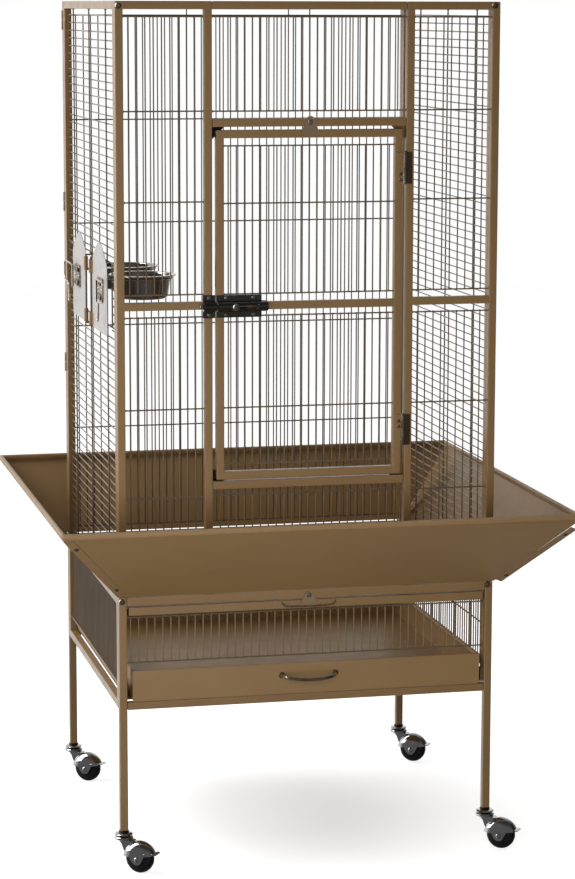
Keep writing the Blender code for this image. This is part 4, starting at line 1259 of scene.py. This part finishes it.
def guard_hem(name, shorten):
    """The rolled hem, a flattened roll with rounded ends along the top edge."""
    first, last = CORNERS[name]
    a, b = guard_corner(*first, 1, RIM_Z), guard_corner(*last, 1, RIM_Z)
    depth, tall = 0.0072, 0.0092
    if name in ("front", "back"):
        y = (a.y, a.y + depth) if name == "front" else (a.y - depth, a.y)
        x = (min(a.x, b.x) + shorten, max(a.x, b.x) - shorten)
    else:
        x = (a.x, a.x + depth) if name == "left" else (a.x - depth, a.x)
        y = (min(a.y, b.y) + shorten, max(a.y, b.y) - shorten)
    return block(x, y, (RIM_Z - tall, RIM_Z), SHEET_COAT, 0.0034, 4)


def guard_flange(name, side):
    """A bolted strip beside the corner. At the front right it runs past the corner."""
    past_corner = name == "front" and side > 0
    shares = (0.03, 0.88) if past_corner else (0.03, 0.93)
    low, high = [guard_corner(side, name, share, slope_height(share)) for share in shares]
    slope = (high - low).normalized()
    face = Vector((side, 0, 0)).cross(slope).normalized()
    face = face if face.z < 0 else -face
    across = face.cross(slope).normalized()
    across = across if (across.x * side > 0) == past_corner else -across
    lift = face * (SHEET / 2 + 0.0002)
    wide = 0.0135
    edge = [low + lift, high + lift, high + lift + across * wide, low + lift + across * wide]
    parts = [plate(edge, face * 0.0012, SHEET_COAT, 0.0004)]
    for share in (0.10, 0.88):
        spot = low.lerp(high, share) + across * wide / 2 + lift + face * 0.0010
        parts.append(screw(spot, face, 0.0042))
    return parts


def build_guard(name):
    shorten = 0.0005 if name in ("front", "back") else 0.0075
    parts = [guard_sheet(name), guard_hem(name, shorten)]
    if name in ("front", "back"):
        parts += guard_flange(name, -1) + guard_flange(name, 1)
    finish(parts, name + "_seed_catcher", "cage", ["seed_guard_" + name])


for guard in REACH:
    build_guard(guard)
print("guard reaches out:", {k: round(v, 4) for k, v in REACH.items()})

# %% [markdown]
# Two feeder doors swing out of the left side on upright pins. Each is a pale plate with a pointed
# head, hung on the pin by two curled sleeves. A riveted strap on its outer face carries the wire
# catch, and a ring on its inner face carries the cup.

# %% Feeder doors
PLATE_X = -SIDE - 0.0020
HEAD = ((1.0, 0.946), (0.975, 0.953), (0.88, 0.961), (0.72, 0.968), (0.54, 0.975), (0.37, 0.981),
        (0.21, 0.9855), (0.08, 0.9878))
BOTH_FEEDERS = (("front", -1), ("back", 1))


def feeder_plate(hinge, side):
    """The plate's outline: flat foot with cut corners, straight sides, bell-shaped head."""
    near, far = 0.0040, OPENING + 0.003
    middle, half = (near + far) / 2, (far - near) / 2
    points = [(near + 0.004, 0.845), (far - 0.004, 0.845), (far, 0.849)]
    points += [(middle + half * f, z) for f, z in HEAD]
    points += [(middle - half * f, z) for f, z in HEAD[::-1]]
    points += [(near, 0.849)]
    return plate([(PLATE_X + 0.0006, hinge + side * a, z) for a, z in points], (-0.0012, 0, 0),
                 PLATE_PAINT, 0.0003)


def sleeve(hinge, low, high):
    """A curl of the plate round its pin."""
    profile = [(0.0018, low), (0.0031, low), (0.0035, low + 0.0005),
               (0.0035, high - 0.0005), (0.0031, high), (0.0018, high)]
    return spun(profile, (HINGE_X, hinge, 0), "Z", TUBE_COAT, 20)


def build_feeder_door(label, side):
    hinge = HINGE_LINE[label]
    parts = [feeder_plate(hinge, side)]
    tab_x, tab_y = (PLATE_X - 0.0016, PLATE_X - 0.0006), (hinge + side * 0.0024, hinge + side * 0.0125)
    for low, high in ((0.8475, 0.8690), (0.9320, 0.9545)):
        parts.append(sleeve(hinge, low, high))
        parts.append(block(tab_x, tab_y, (low + 0.001, high - 0.001), TUBE_COAT, 0.0004))
    x, middle, half = PLATE_X - 0.0006, hinge + side * 0.0930, 0.0250
    parts.append(block((x - 0.0022, x), (middle - half, middle + half), (0.8960, 0.9330), BRONZE, 0.0009))
    ridge_y = (middle - half + 0.004, middle + half - 0.004)
    for z in (0.9030, 0.9260):
        parts.append(block((x - 0.0060, x), ridge_y, (z - 0.0045, z + 0.0045), BRONZE, 0.0030, 4))
    for y in (-0.019, 0.019):
        for z in (0.9005, 0.9145, 0.9285):
            parts.append(screw((x - 0.0020, middle + y, z), (-1, 0, 0), 0.0024))
    finish(parts, label + "_feeder_plate", label + "_feeder", [label + "_feeder_door"])


for label, side in BOTH_FEEDERS:
    build_feeder_door(label, side)

# %% [markdown]
# The catch is one bent wire: it turns in the riveted strap, reaches past the edge of the opening,
# hooks round the bars there and comes back as a finger loop.

# %% Feeder catches
def build_catch(label, side):
    stud = HINGE_LINE[label] + side * 0.100
    x = PLATE_X - 0.0092
    reach = side * (OPENING - 0.100 + 0.028)
    bends = [(0.5, 0.9330), (1, 0.9330), (1, 0.9200), (1, 0.9020), (0.8, 0.9000), (0.45, 0.9000),
             (0.42, 0.8850), (0.40, 0.8680), (0.30, 0.8680), (0.30, 0.8800)]
    points = [(x, stud, 0.9300), (x - 0.002, stud + side * 0.004, 0.9330)]
    points += [(x - 0.002, stud + reach * share, z) for share, z in bends]
    parts = [bent(points, 0.0014, WARM_CHROME)]
    parts.append(rod((x, stud, 0.8950), (x, stud, 0.9310), 0.0017, WARM_CHROME, 12))
    finish(parts, label + "_wire_catch", label + "_feeder_catch", [label + "_feeder_latch"])


for label, side in BOTH_FEEDERS:
    build_catch(label, side)

# %% [markdown]
# The cup is spun from stainless sheet: a flat bottom, a wall that leans out slightly, and a flange
# rolled over at the rim. The ring that holds it is a hoop of wire on a small riveted foot.

# %% Cups and rings
def build_cup(label):
    low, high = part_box(label + "_cup")
    centre = ((low.x + high.x) / 2, (low.y + high.y) / 2, 0)
    rim, foot = high.z, low.z
    outside = [(0, foot), (0.0345, foot), (0.0380, foot + 0.0006), (0.0402, foot + 0.0022),
               (0.0414, foot + 0.0050), (0.0452, rim - 0.0080), (0.0460, rim - 0.0042),
               (0.0472, rim - 0.0028), (0.0530, rim - 0.0028), (0.0541, rim - 0.0022)]
    inside = [(0.0545, rim - 0.0012), (0.0540, rim - 0.0004), (0.0528, rim), (0.0468, rim),
              (0.0454, rim - 0.0010), (0.0444, rim - 0.0060), (0.0405, foot + 0.0056),
              (0.0392, foot + 0.0032), (0.0372, foot + 0.0018), (0.0340, foot + 0.0011), (0, foot + 0.0010)]
    profile = outside + inside
    cup = spun(profile, centre, "Z", STAINLESS, 72)
    finish([cup], label + "_food_cup", label + "_feed_cup", [label + "_cup"])


def build_cup_ring(label):
    cup_low, cup_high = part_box(label + "_cup")
    low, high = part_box(label + "_cup_ring")
    x, y, z = (cup_low.x + cup_high.x) / 2, (cup_low.y + cup_high.y) / 2, high.z - 0.0026
    circle = [(0.0494 + 0.0016 * math.cos(a), z + 0.0016 * math.sin(a))
              for a in [math.tau * k / 10 for k in range(10)]]
    parts = [spun(circle, (x, y, 0), "Z", CHROME, 56)]
    start = low.x + 0.0012
    for offset in (-0.0070, 0.0070):
        parts.append(rod((start, y + offset, z), (x - 0.0486, y + offset, z), 0.0016, CHROME, 12))
    foot_x, foot_y = (low.x, low.x + 0.0014), (y - 0.0105, y + 0.0105)
    parts.append(block(foot_x, foot_y, (low.z, high.z + 0.0010), CHROME, 0.0005))
    parts.append(screw((low.x + 0.0014, y, low.z + 0.0055), (1, 0, 0), 0.0024))
    finish(parts, label + "_cup_hoop", label + "_feeder", [label + "_cup_ring"])


for label in ("front", "back"):
    build_cup(label)
    build_cup_ring(label)

# %% [markdown]
# The casters are hooded swivel casters. The hood is a rounded drum spun about the axle, cut by a
# plane so that it closes over the top of the wheel, and given its sheet thickness. A pointed cheek
# on each side comes down to the axle. One caster is built with its swivel axis at the origin,
# trailing along x, and copied to the four legs.

# %% The caster's hood and cheeks
leg_low, leg_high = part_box("front_left_leg")
pivot = Vector(((leg_low.x + leg_high.x) / 2, (leg_low.y + leg_high.y) / 2, 0))
wheel_low, wheel_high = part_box("front_left_wheel")
hub = (wheel_low + wheel_high) / 2
TRAIL = (hub - pivot).to_2d()
WHEEL_R = hub.z
REACH_BACK, TURN = TRAIL.length, math.atan2(TRAIL.y, TRAIL.x)


def cut_away(piece, point, facing):
    """Remove what lies on the side of a plane that it faces."""
    use(piece)
    bpy.ops.object.mode_set(mode="EDIT")
    bpy.ops.mesh.select_all(action="SELECT")
    bpy.ops.mesh.bisect(plane_co=point, plane_no=facing, clear_outer=True)
    bpy.ops.object.mode_set(mode="OBJECT")


def caster_hood(centre):
    """The domed half of a drum, hollow inside, over the wheel."""
    half = [(0, 0.0150), (0.0080, 0.0148), (0.0140, 0.0143), (0.0190, 0.0132), (0.0232, 0.0112),
            (0.0262, 0.0082), (0.0279, 0.0046), (0.0285, 0.0012)]
    drum = [(r, -h) for r, h in half] + [(r, h) for r, h in half[::-1]]
    hood = spun(drum, centre, "Y", CHROME, 64)
    cut_away(hood, centre + Vector((0, 0, 0.0052)), (0.10, 0, -1))
    modify(hood, "SOLIDIFY", thickness=0.0011, offset=-1)
    return hood


def cheek(centre, side):
    """The V-shaped ear that comes down from the hood to the axle."""
    outline = [(-0.0150, 0.0085), (0.0150, 0.0110), (0.0118, 0.0030), (0.0072, -0.0050),
               (0.0050, -0.0074), (0.0018, -0.0086), (-0.0018, -0.0086), (-0.0050, -0.0074),
               (-0.0072, -0.0050), (-0.0118, 0.0020)]
    points = [(centre.x + x, side * 0.0128, centre.z + z) for x, z in outline]
    return plate(points, (0, side * 0.0013, 0), CHROME, 0.0004)


# %% [markdown]
# A turned bearing race, a sloping neck, a small visor and the axle's end caps complete the fork.

# %% The caster's fork
AXLE_CAP = ((0, 0.0137), (0.0040, 0.0137), (0.0042, 0.0143), (0.0036, 0.0152), (0.0020, 0.0156), (0, 0.0156))


def make_fork():
    centre = Vector((REACH_BACK, 0, WHEEL_R))
    parts = [caster_hood(centre)]
    race = [(0.0036, 0.0512), (0.0120, 0.0512), (0.0146, 0.0524), (0.0154, 0.0542), (0.0146, 0.0560),
            (0.0126, 0.0572), (0.0036, 0.0575)]
    parts.append(spun(race, (0, 0, 0), "Z", CHROME, 40))
    neck = [(-0.0085, 0.0530), (0.0110, 0.0530), (0.0200, 0.0505), (0.0150, 0.0415), (0.0070, 0.0350),
            (0.0035, 0.0330), (0.0015, 0.0370), (-0.0015, 0.0450)]
    parts.append(plate([(x, 0.0080, z) for x, z in neck], (0, -0.0160, 0), CHROME, 0.0018))
    for side in (-1, 1):
        parts.append(cheek(centre, side))
        parts.append(spun([(r, side * h) for r, h in AXLE_CAP], centre, "Y", CHROME, 24))
    visor = [(REACH_BACK + 0.0262, WHEEL_R + 0.0098), (REACH_BACK + 0.0312, WHEEL_R + 0.0090),
             (REACH_BACK + 0.0312, WHEEL_R + 0.0102), (REACH_BACK + 0.0262, WHEEL_R + 0.0118)]
    parts.append(plate([(x, 0.0095, z) for x, z in visor], (0, -0.0190, 0), CHROME, 0.0004))
    return joined(parts)


FORK = make_fork()
print("fork:", len(FORK.data.polygons), "faces, trail", round(REACH_BACK, 4))

# %% [markdown]
# The wheel is a rounded tread on a narrower hub, spun as one closed profile with a bore.

# %% Wheels, and the four casters
def make_wheel():
    half = (0.0105, 0.0103, 0.0094, 0.0094, 0.0088, 0.0072, 0.0048, 0.0018)
    radii = (0.0034, 0.0120, 0.0128, 0.0150, 0.0186, 0.0212, 0.0229, WHEEL_R)
    profile = [(r, -h) for r, h in zip(radii, half)] + [(r, h) for r, h in zip(radii[::-1], half[::-1])]
    return spun(profile, (REACH_BACK, 0, WHEEL_R), "Y", RUBBER, 48)


WHEEL = make_wheel()
for corner in ("front_left", "front_right", "back_left", "back_right"):
    low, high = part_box(corner + "_leg")
    below_leg = Matrix.Translation(((low.x + high.x) / 2, (low.y + high.y) / 2, 0))
    spot = below_leg @ Matrix.Rotation(TURN, 4, "Z")
    fork, wheel = copy_to(FORK, spot), copy_to(WHEEL, spot)
    finish([fork], corner + "_caster_fork", corner + "_caster", [corner + "_fork"])
    finish([wheel], corner + "_caster_wheel", corner + "_roller", [corner + "_wheel"])

# %% [markdown]
# The masters were only patterns for their copies, so they go.

# %% Tidy up and finish
for pattern in (SCREW, FORK, WHEEL):
    bpy.data.objects.remove(pattern)
